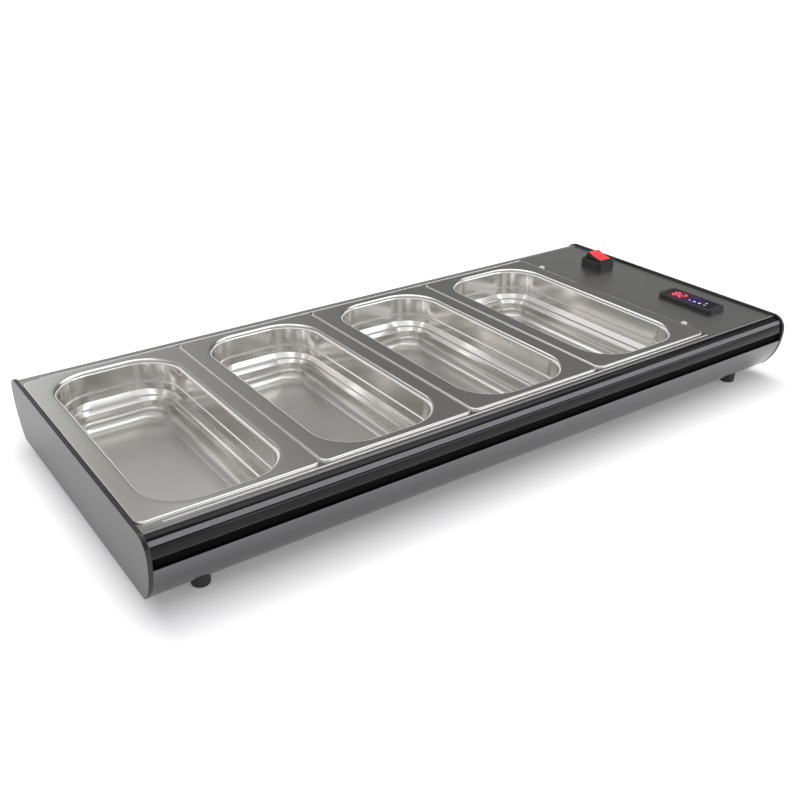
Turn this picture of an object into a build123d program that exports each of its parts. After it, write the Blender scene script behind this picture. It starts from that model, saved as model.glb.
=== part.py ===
from build123d import *

import math
import os

# Counter-top dry-heat bain marie: four gastronorm pans in a row, controls at the right.
# Millimetres. X runs along the length, the front faces -Y, the feet stand on Z = 0.

# Overall form, which the two end cheeks give
cheek_height = 69.0
stand_height = 13.0
cheek_t = 4.3
corner_r = 17.0
side_r = 68.5
belly_height = 49.0
toe_r = 3.0
reveal = 2.0
panel_reveal = 0.4

# Gastronorm 1/3 pans
pan_count = 4
pan_pitch = 176.0
pan_gap = 0.6
pan_length = 325.0
pan_end_gap = 8.8
pan_depth = 65.0
pan_sheet = 0.8
pan_edge_h = 2.0
pan_corner_r = 9.0
pan_edge_r = 1.4
rim_end_width = 11.0
rim_side_width = 19.7
mouth_r = 46.0
rim_r = 2.5
shoulder_depth = 27.0
shoulder_in = 2.5
upper_draft = 3.0
lower_draft = 5.0
floor_r = 18.0
shoulder_r = 1.0

# Length of the control bay
bay_width = 115.4

# Nosing extrusions and lower panels
nosing_wall = 2.0
lip_setback = 18.7
nosing_drop = 20.5
shadow_gap = 9.5
gap_recess = 3.5
strip_t = 1.5
leg_t = 2.0
leg_below_hem = 3.0
shelf_width = 10.0
facet_from = 32.0
facet_to = 52.0
groove_width = 1.5
groove_depth = 0.9
lip_edge_r = 0.5
panel_t = 1.2
panel_return = 22.6

# Sheet-metal top, well and base
deck_t = 1.5
cover_gap = 1.0
sheet_gap = 0.3
seam_gap = 0.1
cut_clear = 2.5
skirt_depth = 12.0
liner_t = 0.8
liner_clear = 4.5
liner_flange = 4.0
liner_notch_width = 14.0
liner_notch_height = 6.0
base_t = 1.0
base_clear = 0.6
dish_drop = 6.9
dish_clear = 6.5
dish_end_clear = 12.8
dish_r = 12.0
insulation_t = 5.0
heater_t = 1.5
heater_margin = 14.0
heater_r = 6.0
spreader_t = 1.5
stack_gap = 1.0

# Partition between the well and the control bay
partition_t = 1.2
partition_from_pans = 8.3
partition_flange = 26.0

# Rails and corner keys that hold the cheeks
rail_t = 1.5
rail_leg = 8.0
rail_height = 14.0
rail_setback = 40.0
key_length = 30.0
key_clear = 0.2

# Fasteners
cover_screw_x = 5.7
cover_screw_inset = 44.7
m4_r = 2.0
m4_head_r = 3.6
m4_head_h = 1.8
m4_dome_r = 1.1
m4_length = 10.0
nut_r = 4.0
nut_h = 3.0
hole_clear = 0.2
socket_r = 1.6
socket_depth = 1.0

# Feet
foot_inset = 55.0
foot_setback = 32.0
foot_r = 10.0
foot_base_r = 8.8
foot_bore_r = 5.2
foot_bore_h = 7.0
foot_edge_r = 1.2

# Rocker switch
switch_from_end = 38.1
switch_from_rear = 81.8
switch_width = 31.0
switch_length = 38.0
switch_rise = 10.0
switch_corner_r = 5.0
switch_chamfer = 1.6
switch_body_clear = 2.0
switch_body_depth = 24.0
rocker_width = 20.0
rocker_face = 24.0
rocker_rise = 9.0
rocker_floor = 4.0
rocker_dish = 0.7
rocker_tilt = 16.0
rocker_clear = 0.4
pivot_below_bezel = 3.0
pivot_r = 2.0
pivot_length = 2.6
pivot_clear = 0.1
blade_width = 6.3
blade_t = 0.8
blade_length = 9.0
blade_pitch = 9.0
blade_row_pitch = 18.0

# Thermostat
thermostat_from_end = 47.4
thermostat_from_front = 86.3
thermostat_width = 32.5
thermostat_length = 84.0
thermostat_rise = 5.0
thermostat_corner_r = 6.0
thermostat_edge_r = 1.6
lens_width = 24.0
lens_length = 71.0
lens_corner_r = 3.0
lens_t = 1.2
lens_sink = 0.3
case_width = 28.5
case_length = 70.5
case_depth = 48.0
case_wall = 1.6
board_t = 1.6
board_below_lens = 8.0
display_width = 13.0
display_length = 27.0
display_y = 12.0
clip_t = 2.0
clip_width = 20.0
clip_height = 9.0
block_height = 11.0
block_width = 12.0

# Mains entry, terminals, earth and safety parts in the bay
bushing_from_end = 64.7
bushing_height = 23.0
bushing_flange_r = 8.0
bushing_flange_t = 3.0
bushing_body_r = 6.0
bushing_body_length = 11.0
bushing_edge_r = 1.0
cord_r = 3.8
terminal_from_end = 75.7
terminal_setback = 72.0
terminal_poles = 5
terminal_pitch = 10.0
terminal_depth = 22.0
terminal_height = 18.0
terminal_seat_h = 12.6
terminal_screw_r = 2.0
terminal_screw_h = 1.5
terminal_entry_r = 2.2
terminal_entry_h = 4.5
barrier_t = 1.2
barrier_depth = 13.2
earth_from_end = 17.7
earth_setback = 60.0
earth_r = 2.0
earth_height = 16.0
cutout_r = 8.0
cutout_height = 7.0
cutout_inset = 56.8
probe_r = 3.0
probe_length = 40.0
grommet_r = 7.0
grommet_bore_r = 4.0
grommet_lip = 1.5
grommet_z = 40.0
grommet_y = 20.0
grommet_length = 3.6

# Levels
cheek_bottom_z = stand_height
top_z = stand_height + cheek_height
deck_z = top_z - reveal
deck_under_z = deck_z - deck_t
corner_z = top_z - corner_r
belly_z = cheek_bottom_z + belly_height
nosing_bottom_z = top_z - nosing_drop
panel_top_z = nosing_bottom_z - shadow_gap
panel_foot_z = cheek_bottom_z + panel_reveal
rim_z = panel_foot_z + panel_t
floor_z = rim_z + base_t
dish_z = rim_z - dish_drop
pan_top_z = deck_z + pan_edge_h
insulation_z = dish_z + base_t
heater_z = insulation_z + insulation_t
spreader_z = heater_z + heater_t
spreader_top_z = spreader_z + spreader_t

# Places along the length and across the depth
half_depth = pan_length / 2 + pan_end_gap + lip_setback
inner_length = pan_count * pan_pitch + bay_width
half_inner = inner_length / 2
half_length = half_inner + cheek_t
pans_start_x = -half_inner
pans_end_x = pans_start_x + pan_count * pan_pitch
pan_width = pan_pitch - pan_gap
mouth_width = pan_width - 2 * rim_side_width
mouth_length = pan_length - 2 * rim_end_width
pan_x = [pans_start_x + (i + 0.5) * pan_pitch for i in range(pan_count)]
lip_y = half_depth - lip_setback
face_y = half_depth - reveal
leg_front_y = face_y - gap_recess - strip_t
leg_back_y = leg_front_y - leg_t
shelf_y = lip_y - shelf_width
corner_y = half_depth - corner_r
side_y = half_depth - side_r
partition_x = pans_end_x - partition_from_pans
liner_half_depth = mouth_length / 2 + pan_sheet + liner_clear
dish_half_depth = liner_half_depth - dish_end_clear
cutout_y = cutout_inset - liner_half_depth
liner_left_x = pan_x[0] - mouth_width / 2 - pan_sheet - liner_clear
liner_right_x = pan_x[-1] + mouth_width / 2 + pan_sheet + liner_clear
liner_x = (liner_left_x + liner_right_x) / 2
liner_length = liner_right_x - liner_left_x
dish_left_x = liner_left_x + dish_clear
dish_right_x = liner_right_x - dish_clear
dish_x = (dish_left_x + dish_right_x) / 2
dish_length = dish_right_x - dish_left_x
rail_length = 2 * (half_depth - rail_setback)
rail_screw_pitch = rail_length / 3
foot_y = half_depth - foot_setback
cover_screw_y = lip_y - cover_screw_inset
switch_x = half_inner - switch_from_end
switch_y = lip_y - switch_from_rear
thermostat_x = half_inner - thermostat_from_end
thermostat_y = thermostat_from_front - lip_y
bushing_x = half_inner - bushing_from_end
terminal_x = half_inner - terminal_from_end
terminal_y = half_depth - terminal_setback
earth_x = half_inner - earth_from_end
earth_y = half_depth - earth_setback

UP = (Align.CENTER, Align.CENTER, Align.MIN)
DOWN = (Align.CENTER, Align.CENTER, Align.MAX)
PAST = 1.0
NEAR = 0.01
DRILL = 5.0


def along_x(face, start, end):
    """Extrudes a section drawn in Y and Z from one X to another."""
    return Pos(start, 0, 0) * extrude(Plane.YZ * face, amount=end - start)


def strip(y0, y1, z0, z1):
    """A rectangle in a Y, Z section, given by its corners."""
    return Pos((y0 + y1) / 2, (z0 + z1) / 2) * Rectangle(abs(y1 - y0), abs(z1 - z0))


def plate(x0, x1, y0, y1, z0, z1):
    """A box given by its corners."""
    return Pos(x0, y0, z0) * Box(x1 - x0, y1 - y0, z1 - z0, align=(Align.MIN,) * 3)


def at_level(shape, z):
    """The edges that lie in one horizontal plane."""
    return shape.edges().filter_by_position(Axis.Z, z - NEAR, z + NEAR)


def drill(radius):
    """The tool for a round hole through one sheet."""
    return Cylinder(radius, DRILL)


def outline(inset):
    """The body's section in Y and Z, set in from the cheek's edge all round."""
    top = top_z - inset
    bottom = cheek_bottom_z + inset
    side = side_r - inset
    turn = math.degrees(math.asin((belly_z - bottom) / side))
    toe_y = side_y + side * math.cos(math.radians(turn))
    edge_y = half_depth - inset
    half = make_face(
        [
            Line((0, bottom), (toe_y, bottom)),
            CenterArc((side_y, belly_z), side, -turn, turn),
            Line((edge_y, belly_z), (edge_y, corner_z)),
            CenterArc((corner_y, corner_z), corner_r - inset, 0, 90),
            Line((corner_y, top), (0, top)),
            Line((0, top), (0, bottom)),
        ]
    )
    return half + mirror(half, Plane.YZ)


def cheek(start, end):
    """One end plate, with small toe radii at its flat bottom edge."""
    form = outline(0)
    toes = [v for v in form.vertices() if v.Y < cheek_bottom_z + PAST and abs(v.X) > PAST]
    return along_x(fillet(toes, toe_r), start, end)


def nosing_section():
    """The rear nosing's hollow section: skin, lip, deck shelf, inner wall and hanging leg."""
    skin = outline(reveal) - outline(reveal + nosing_wall)
    skin &= strip(lip_y, half_depth, nosing_bottom_z, top_z)
    arc_r = corner_r - reveal
    chord = arc_r * math.cos(math.radians((facet_to - facet_from) / 2))
    middle = (facet_to + facet_from) / 2
    shaved = Pos(corner_y, corner_z) * Rot(0, 0, middle)
    skin -= shaved * Pos(chord + nosing_wall / 2, 0) * Rectangle(nosing_wall, arc_r)
    groove = Pos(corner_y, corner_z) * Rot(0, 0, facet_to)
    skin -= groove * Pos(arc_r, 0) * Rectangle(2 * groove_depth, groove_width)
    wall_y = lip_y + nosing_wall
    shelf_bottom = deck_under_z - nosing_wall
    skin += strip(shelf_y, wall_y + nosing_wall, shelf_bottom, deck_under_z)
    skin += strip(wall_y, wall_y + nosing_wall, nosing_bottom_z, deck_under_z)
    skin += strip(wall_y, face_y, nosing_bottom_z, nosing_bottom_z + nosing_wall)
    skin += strip(leg_back_y, leg_front_y, panel_top_z - leg_below_hem, nosing_bottom_z)
    lip = [v for v in skin.vertices() if v.Y > deck_z - NEAR and v.X < lip_y + NEAR]
    foot = [v for v in skin.vertices() if v.X > face_y - NEAR and v.Y < nosing_bottom_z + NEAR]
    return fillet(lip + foot, lip_edge_r)


def nosings():
    rear = along_x(nosing_section(), -half_inner, half_inner)
    return {"rear_nosing": rear, "front_nosing": mirror(rear, Plane.XZ)}


def gap_strips():
    face = strip(leg_front_y, leg_front_y + strip_t, panel_top_z, nosing_bottom_z)
    rear = along_x(face, -half_inner, half_inner)
    return {"rear_gap_strip": rear, "front_gap_strip": mirror(rear, Plane.XZ)}


def bushing_place():
    """Where the cord bushing stands on the rear lower panel, square to its curve."""
    radius = side_r - panel_reveal
    turn = math.asin((belly_z - cheek_bottom_z - bushing_height) / radius)
    y = side_y + radius * math.cos(turn)
    z = belly_z - radius * math.sin(turn)
    return Plane((bushing_x, y, z), x_dir=(1, 0, 0), z_dir=(0, math.cos(turn), -math.sin(turn)))


def foot_spots():
    """The four feet, named by their corner."""
    x = half_length - foot_inset
    return {
        "front_left": (-x, -foot_y),
        "front_right": (x, -foot_y),
        "rear_left": (-x, foot_y),
        "rear_right": (x, foot_y),
    }


def lower_panels():
    """Curved lower panels: a hem behind the gap strip, and a return below for the feet."""
    ring = outline(panel_reveal) - outline(panel_reveal + panel_t)
    toe_y = side_y + math.sqrt((side_r - panel_reveal) ** 2 - (belly_z - panel_foot_z) ** 2)
    ring &= strip(toe_y - panel_return, half_depth, 0, panel_top_z)
    hem_end_y = half_depth - panel_reveal - panel_t
    ring += strip(leg_front_y, hem_end_y, panel_top_z - panel_t, panel_top_z)
    rear = along_x(ring, -half_inner, half_inner)
    for x, y in foot_spots().values():
        rear -= Pos(x, y, rim_z) * drill(m4_r + hole_clear)
    front = mirror(rear, Plane.XZ)
    through = bushing_place() * Cylinder(bushing_body_r + hole_clear, bushing_body_length)
    return {"rear_lower_panel": rear - through, "front_lower_panel": front}


def base_rim_spots():
    """Screws that fix the base to the two cheek rails."""
    x = half_inner - rail_leg / 2
    return [(sx * x, y) for sx in (-1, 1) for y in (-rail_screw_pitch, 0, rail_screw_pitch)]


def base_tray():
    """Base sheet with a dropped dish under the pans that holds the heating stack."""
    curve_r = side_r - panel_reveal - panel_t
    half = side_y + math.sqrt(curve_r**2 - (belly_z - rim_z) ** 2) - base_clear
    tray = plate(-half_inner + sheet_gap, half_inner - sheet_gap, -half, half, rim_z, floor_z)
    depth = 2 * dish_half_depth
    outer = RectangleRounded(dish_length, depth, dish_r)
    inner = RectangleRounded(dish_length - 2 * base_t, depth - 2 * base_t, dish_r - base_t)
    tray += Pos(dish_x, 0, dish_z) * extrude(outer, amount=floor_z - dish_z)
    tray -= Pos(dish_x, 0, insulation_z) * extrude(inner, amount=dish_drop + PAST)
    for x, y in list(foot_spots().values()) + base_rim_spots():
        tray -= Pos(x, y, rim_z) * drill(m4_r + hole_clear)
    return tray


def heating_stack():
    """Insulation, one silicone heater pad under each pan, and the plate that spreads the heat."""
    length = dish_length - 2 * base_t - 2 * stack_gap
    depth = 2 * dish_half_depth - 2 * base_t - 2 * stack_gap
    sheet = RectangleRounded(length, depth, dish_r - base_t - stack_gap)
    parts = {"insulation_board": Pos(dish_x, 0, insulation_z) * extrude(sheet, amount=insulation_t)}
    parts["heat_spreader"] = Pos(dish_x, 0, spreader_z) * extrude(sheet, amount=spreader_t)
    pad = RectangleRounded(mouth_width - 2 * heater_margin, depth - 2 * heater_margin, heater_r)
    for i, x in enumerate(pan_x):
        parts[f"heater_pad_{i + 1}"] = Pos(x, 0, heater_z) * extrude(pad, amount=heater_t)
    return parts


def pan_cut():
    """The outline of a cut-out that clears a pan's wall and its bend under the rim."""
    grow = pan_sheet + cut_clear
    return RectangleRounded(mouth_width + 2 * grow, mouth_length + 2 * grow, mouth_r + grow)


def top_deck():
    left = -half_inner + sheet_gap
    right = pans_end_x - seam_gap
    half = lip_y - seam_gap
    deck = plate(left, right, -half, half, deck_under_z, deck_z)
    deck += plate(left, left + deck_t, -shelf_y + PAST, shelf_y - PAST, deck_z - skirt_depth, deck_z)
    for x in pan_x:
        deck -= Pos(x, 0, deck_under_z - PAST) * extrude(pan_cut(), amount=deck_t + 2 * PAST)
    return deck


def well_liner():
    """Upright walls round the pans, hung from the deck by a flange and standing on the base."""
    depth = 2 * liner_half_depth
    outer = Rectangle(liner_length + 2 * liner_t, depth + 2 * liner_t)
    inner = Rectangle(liner_length, depth)
    flange = Rectangle(liner_length + 2 * (liner_t + liner_flange), 2 * (shelf_y - sheet_gap))
    walls = Pos(liner_x, 0, floor_z) * extrude(outer - inner, amount=deck_under_z - floor_z)
    walls += Pos(liner_x, 0, deck_under_z - liner_t) * extrude(flange - inner, amount=liner_t)
    notch = Box(liner_notch_width, liner_notch_width, liner_notch_height, align=UP)
    for x, y in foot_spots().values():
        walls -= Pos(x, y, floor_z) * notch
    return walls


def cover_screw_spots():
    x = pans_end_x + cover_screw_x
    return [(x, sy * cover_screw_y) for sy in (-1, 1)]


def bay_partition():
    """Sheet between well and bay; its top flange carries the deck's edge and the cover."""
    half = shelf_y - PAST
    wall = plate(partition_x, partition_x + partition_t, -half, half, floor_z, deck_under_z)
    top = deck_under_z - partition_t
    wall += plate(partition_x, partition_x + partition_flange, -half, half, top, deck_under_z)
    for x, y in cover_screw_spots():
        wall -= Pos(x, y, deck_under_z) * drill(m4_r + hole_clear)
    return wall - Pos(partition_x, grommet_y, grommet_z) * Rot(0, 90, 0) * drill(grommet_r)


def control_cover():
    """Screwed cover of the bay, with cut-outs for the switch and the thermostat."""
    left = pans_end_x + sheet_gap
    right = half_inner - sheet_gap
    half = lip_y - cover_gap
    cover = plate(left, right, -half, half, deck_under_z, deck_z)
    cover += plate(right - deck_t, right, -shelf_y + PAST, shelf_y - PAST, deck_z - skirt_depth, deck_z)
    grow = 2 * (hole_clear - switch_body_clear)
    window = RectangleRounded(switch_width + grow, switch_length + grow, switch_corner_r - switch_body_clear)
    cover -= Pos(switch_x, switch_y, 0) * extrude(window, amount=top_z)
    slot = Rectangle(case_width + 2 * hole_clear, case_length + 2 * hole_clear)
    cover -= Pos(thermostat_x, thermostat_y, 0) * extrude(slot, amount=top_z)
    for x, y in cover_screw_spots():
        cover -= Pos(x, y, deck_z) * drill(m4_r + hole_clear)
    return cover


def pan_form(grow):
    """A pan's drafted form with its stacking shoulder, grown outwards by a sheet's thickness."""
    width = mouth_width + 2 * grow
    length = mouth_length + 2 * grow
    drop = shoulder_depth + grow
    upper = extrude(
        RectangleRounded(width, length, mouth_r + grow), amount=drop, dir=(0, 0, -1), taper=upper_draft
    )
    step = 2 * (drop * math.tan(math.radians(upper_draft)) + shoulder_in)
    lower_r = mouth_r + grow - step / 2
    rest = pan_depth - pan_sheet - shoulder_depth
    lower = extrude(
        RectangleRounded(width - step, length - step, lower_r), amount=rest, dir=(0, 0, -1), taper=lower_draft
    )
    lower = fillet(lower.edges().group_by(Axis.Z)[0], floor_r + grow)
    form = upper + Pos(0, 0, -drop) * lower
    return fillet(at_level(form, -drop), shoulder_r)


def pan():
    """One deep-drawn pan with a flat rim that is turned down at its outer edge, top at Z = 0."""
    rim = extrude(
        RectangleRounded(pan_width, pan_length, pan_corner_r), amount=pan_edge_h, dir=(0, 0, -1)
    )
    rim = fillet(at_level(rim, 0), pan_edge_r)
    hollow = RectangleRounded(
        pan_width - 2 * pan_sheet, pan_length - 2 * pan_sheet, pan_corner_r - pan_sheet
    )
    rim -= Pos(0, 0, -pan_sheet) * extrude(hollow, amount=pan_edge_h, dir=(0, 0, -1))
    shell = rim + pan_form(pan_sheet)
    shell = fillet(pan_bend(shell, -pan_sheet), rim_r - pan_sheet)
    shell -= pan_form(0)
    return fillet(pan_bend(shell, 0), rim_r)


def pan_bend(shell, z):
    """The loop of edges at one level that lies well inside the rim's outer edge."""
    inside = pan_width / 2 - pan_corner_r
    loop = [e for e in at_level(shell, z) if abs(e.center().X) < inside]
    return [e for e in loop if abs(e.center().Y) < pan_length / 2 - 2 * pan_edge_r]


def cheek_rails():
    """Angles welded inside the cheeks, which the base is screwed to."""
    end = rail_length / 2
    leg = plate(half_inner - rail_leg, half_inner, -end, end, floor_z, floor_z + rail_t)
    leg += plate(half_inner - rail_t, half_inner, -end, end, floor_z, floor_z + rail_height)
    for x, y in base_rim_spots():
        leg -= Pos(x, y, floor_z) * drill(m4_r)
    return {"right_cheek_rail": leg, "left_cheek_rail": mirror(leg, Plane.YZ)}


def corner_keys():
    """Blocks on the cheeks that plug into the hollow of each nosing."""
    y0 = lip_y + 2 * nosing_wall + key_clear
    z0 = nosing_bottom_z + nosing_wall + key_clear
    reach = (corner_r - reveal - nosing_wall - 2 * key_clear) / math.sqrt(2)
    y1 = corner_y + reach
    z1 = corner_z + reach
    key = plate(half_inner - key_length, half_inner, y0, y1, z0, z1)
    right = [key, mirror(key, Plane.XZ)]
    left = [mirror(k, Plane.YZ) for k in right]
    return {"right_corner_keys": Compound(right), "left_corner_keys": Compound(left)}


def machine_screw(length):
    """A domed screw with its seat at Z = 0, its head above and a hex socket."""
    head = Cylinder(m4_head_r, m4_head_h, align=UP)
    head = fillet(at_level(head, m4_head_h), m4_dome_r)
    shank = Cylinder(m4_r, length, align=DOWN)
    socket = extrude(RegularPolygon(socket_r, 6), amount=socket_depth)
    return head + shank - Pos(0, 0, m4_head_h - socket_depth) * socket


def nut(bore_r):
    """A plain hex nut standing on Z = 0."""
    return extrude(RegularPolygon(nut_r, 6) - Circle(bore_r), amount=nut_h)


def group(shape, spots, z):
    """Copies of one shape at several X, Y places, as separate solids."""
    return Compound([Pos(x, y, z) * shape for x, y in spots])


def fasteners():
    screw = machine_screw(m4_length)
    upward = Rot(180, 0, 0) * screw
    nut_top = deck_under_z - partition_t - nut_h
    return {
        "cover_screws": group(screw, cover_screw_spots(), deck_z),
        "cover_nuts": group(nut(m4_r), cover_screw_spots(), nut_top),
        "base_screws": group(upward, base_rim_spots(), rim_z),
    }


def feet():
    """Rubber feet, each recessed below for the screw that passes up into the base."""
    parts = {}
    side = make_face(
        [
            Line((0, 0), (foot_base_r, 0)),
            Line((foot_base_r, 0), (foot_r, panel_foot_z)),
            Line((foot_r, panel_foot_z), (0, panel_foot_z)),
            Line((0, panel_foot_z), (0, 0)),
        ]
    )
    body = revolve(Plane.XZ * side, Axis.Z)
    body = fillet(at_level(body, 0), foot_edge_r)
    body -= Cylinder(foot_bore_r, foot_bore_h, align=UP)
    body -= Cylinder(m4_r + hole_clear, panel_foot_z, align=UP)
    for name, (x, y) in foot_spots().items():
        parts[f"foot_{name}"] = Pos(x, y, 0) * body
    reach = floor_z + nut_h - foot_bore_h
    screw = Rot(180, 0, 0) * machine_screw(reach)
    parts["foot_screws"] = group(screw, foot_spots().values(), foot_bore_h)
    parts["foot_nuts"] = group(nut(m4_r), foot_spots().values(), floor_z)
    return parts


def rocker_switch():
    """Black housing with a red rocker that turns on two stub pins."""
    top = deck_z + switch_rise
    pivot_z = top - pivot_below_bezel
    sweep_r = math.hypot(rocker_face / 2, rocker_rise)
    bezel = extrude(RectangleRounded(switch_width, switch_length, switch_corner_r), amount=switch_rise)
    bezel = chamfer(at_level(bezel, switch_rise), switch_chamfer)
    grow = -2 * switch_body_clear
    stem = RectangleRounded(switch_width + grow, switch_length + grow, switch_corner_r - switch_body_clear)
    housing = Pos(0, 0, deck_z) * bezel
    housing += Pos(0, 0, deck_z - switch_body_depth) * extrude(stem, amount=switch_body_depth)
    well_length = 2 * (sweep_r + rocker_clear)
    well_depth = sweep_r * math.sin(math.radians(2 * rocker_tilt)) + rocker_clear
    well = Pos(0, 0, pivot_z - well_depth) * Box(
        rocker_width + 2 * rocker_clear, well_length, top_z, align=UP
    )
    pin_length = rocker_width + 2 * pivot_length
    pins = Rot(0, 90, 0) * Cylinder(pivot_r, pin_length)
    holes = Rot(0, 90, 0) * Cylinder(pivot_r + pivot_clear, pin_length + 2 * rocker_clear)
    housing = housing - well - Pos(0, 0, pivot_z) * holes
    floor_y = math.sqrt(sweep_r**2 - rocker_floor**2)
    front = (-rocker_face / 2, rocker_rise)
    rear = (rocker_face / 2, rocker_rise)
    section = make_face(
        [
            ThreePointArc(front, (0, rocker_rise - rocker_dish), rear),
            ThreePointArc(rear, (sweep_r, 0), (floor_y, -rocker_floor)),
            Line((floor_y, -rocker_floor), (-floor_y, -rocker_floor)),
            ThreePointArc((-floor_y, -rocker_floor), (-sweep_r, 0), front),
        ]
    )
    rocker = along_x(section, -rocker_width / 2, rocker_width / 2) + pins
    rocker = Pos(0, 0, pivot_z) * Rot(rocker_tilt, 0, 0) * rocker
    blades = []
    for sx in (-0.5, 0.5):
        for sy in (-0.5, 0.5):
            spot = Pos(sx * blade_pitch, sy * blade_row_pitch, deck_z - switch_body_depth)
            blades.append(spot * Box(blade_width, blade_t, blade_length, align=DOWN))
    place = Pos(switch_x, switch_y, 0)
    return {
        "switch_housing": place * housing,
        "switch_rocker": place * rocker,
        "switch_terminals": place * Compound(blades),
    }


def thermostat():
    """Panel controller: bezel and case, flush touch lens, display, board, clips and terminals."""
    top = deck_z + thermostat_rise
    bezel = extrude(
        RectangleRounded(thermostat_width, thermostat_length, thermostat_corner_r), amount=thermostat_rise
    )
    bezel = Pos(0, 0, deck_z) * fillet(at_level(bezel, thermostat_rise), thermostat_edge_r)
    case_z = deck_z - case_depth
    stem = Pos(0, 0, case_z) * Box(case_width, case_length, case_depth, align=UP)
    seat_z = top - lens_sink - lens_t
    hollow_width = lens_width - 2 * case_wall
    hollow_length = lens_length - 2 * case_wall - 2 * lens_corner_r
    hollow = Box(hollow_width, hollow_length, seat_z - case_z - case_wall, align=UP)
    pocket = extrude(RectangleRounded(lens_width, lens_length, lens_corner_r), amount=thermostat_rise)
    case = bezel + stem - Pos(0, 0, case_z + case_wall) * hollow - Pos(0, 0, seat_z) * pocket
    fit = 2 * hole_clear
    glass = RectangleRounded(lens_width - fit, lens_length - fit, lens_corner_r - hole_clear)
    board_z = seat_z - board_below_lens
    board = plate(
        -hollow_width / 2, hollow_width / 2, -hollow_length / 2, hollow_length / 2, board_z - board_t, board_z
    )
    digits = Box(display_width, display_length, board_below_lens, align=UP)
    clip_z = deck_under_z - clip_height
    side = case_width / 2
    clip = plate(side, side + clip_t, -clip_width / 2, clip_width / 2, clip_z, deck_under_z)
    block = Box(block_width, case_length - 2 * lens_corner_r, block_height, align=DOWN)
    place = Pos(thermostat_x, thermostat_y, 0)
    return {
        "thermostat_case": place * case,
        "thermostat_lens": place * Pos(0, 0, seat_z) * extrude(glass, amount=lens_t),
        "thermostat_board": place * board,
        "thermostat_display": place * Pos(0, display_y, board_z) * digits,
        "thermostat_clips": place * Compound([clip, mirror(clip, Plane.YZ)]),
        "thermostat_terminals": place * Pos(0, 0, case_z) * block,
    }


def cord_bushing():
    """Split bushing that grips the supply cord where it enters the rear panel."""
    flange = Cylinder(bushing_flange_r, bushing_flange_t, align=UP)
    flange = fillet(at_level(flange, bushing_flange_t), bushing_edge_r)
    body = Cylinder(bushing_body_r, bushing_body_length, align=DOWN)
    bore = Cylinder(cord_r, 2 * (bushing_body_length + PAST))
    return bushing_place() * (flange + body - bore)


def terminal_block():
    """A row of screw terminals with a raised barrier between poles."""
    length = terminal_poles * terminal_pitch
    block = Box(length, terminal_depth, terminal_seat_h, align=UP)
    spots = [((i - (terminal_poles - 1) / 2) * terminal_pitch, 0) for i in range(terminal_poles)]
    barrier = Box(barrier_t, barrier_depth, terminal_height, align=UP)
    end_x = (length - barrier_t) / 2
    for i in range(terminal_poles + 1):
        reach = (i - terminal_poles / 2) * terminal_pitch
        block += Pos(max(-end_x, min(end_x, reach)), 0, 0) * barrier
    entry = Rot(90, 0, 0) * Cylinder(terminal_entry_r, terminal_depth + PAST)
    screws = []
    for x, y in spots:
        block -= Pos(x, y, terminal_entry_h) * entry
        screws.append(Pos(x, y, terminal_seat_h) * Cylinder(terminal_screw_r, terminal_screw_h, align=UP))
    place = Pos(terminal_x, terminal_y, floor_z)
    return {"terminal_block": place * block, "terminal_screws": place * Compound(screws)}


def bay_fittings():
    """Earth stud, safety cut-out, temperature probe and the grommet in the partition."""
    parts = {"cord_bushing": cord_bushing()}
    parts["earth_stud"] = Pos(earth_x, earth_y, floor_z) * Cylinder(earth_r, earth_height, align=UP)
    parts["earth_nut"] = Pos(earth_x, earth_y, floor_z) * nut(earth_r)
    gap_x = (pan_x[-1] + pan_x[-2]) / 2
    parts["safety_cutout"] = Pos(gap_x, cutout_y, spreader_top_z) * Cylinder(
        cutout_r, cutout_height, align=UP
    )
    probe = Rot(90, 0, 0) * Cylinder(probe_r, probe_length)
    parts["temperature_probe"] = Pos(gap_x, 0, spreader_top_z + probe_r) * probe
    lips = Cylinder(grommet_r + grommet_lip, grommet_length)
    lips -= Cylinder(grommet_r + grommet_lip, partition_t)
    barrel = Cylinder(grommet_r - seam_gap, partition_t)
    ring = lips + barrel - drill(grommet_bore_r)
    spot = Pos(partition_x + partition_t / 2, grommet_y, grommet_z)
    parts["partition_grommet"] = spot * Rot(0, 90, 0) * ring
    return parts


def build():
    parts = {
        "left_cheek": cheek(-half_length, -half_inner),
        "right_cheek": cheek(half_inner, half_length),
        "base_tray": base_tray(),
        "top_deck": top_deck(),
        "well_liner": well_liner(),
        "bay_partition": bay_partition(),
        "control_cover": control_cover(),
    }
    one_pan = pan()
    for i, x in enumerate(pan_x):
        parts[f"pan_{i + 1}"] = Pos(x, 0, pan_top_z) * one_pan
    for section in (
        nosings,
        gap_strips,
        lower_panels,
        heating_stack,
        cheek_rails,
        corner_keys,
        fasteners,
        feet,
        rocker_switch,
        thermostat,
        terminal_block,
        bay_fittings,
    ):
        parts.update(section())
    return parts


os.makedirs("parts", exist_ok=True)
for node, shape in build().items():
    export_step(shape, f"parts/{node}.step")
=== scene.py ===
import logging
import math
from dataclasses import dataclass, field
from enum import Enum
from typing import Any, Iterable, Sequence

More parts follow.
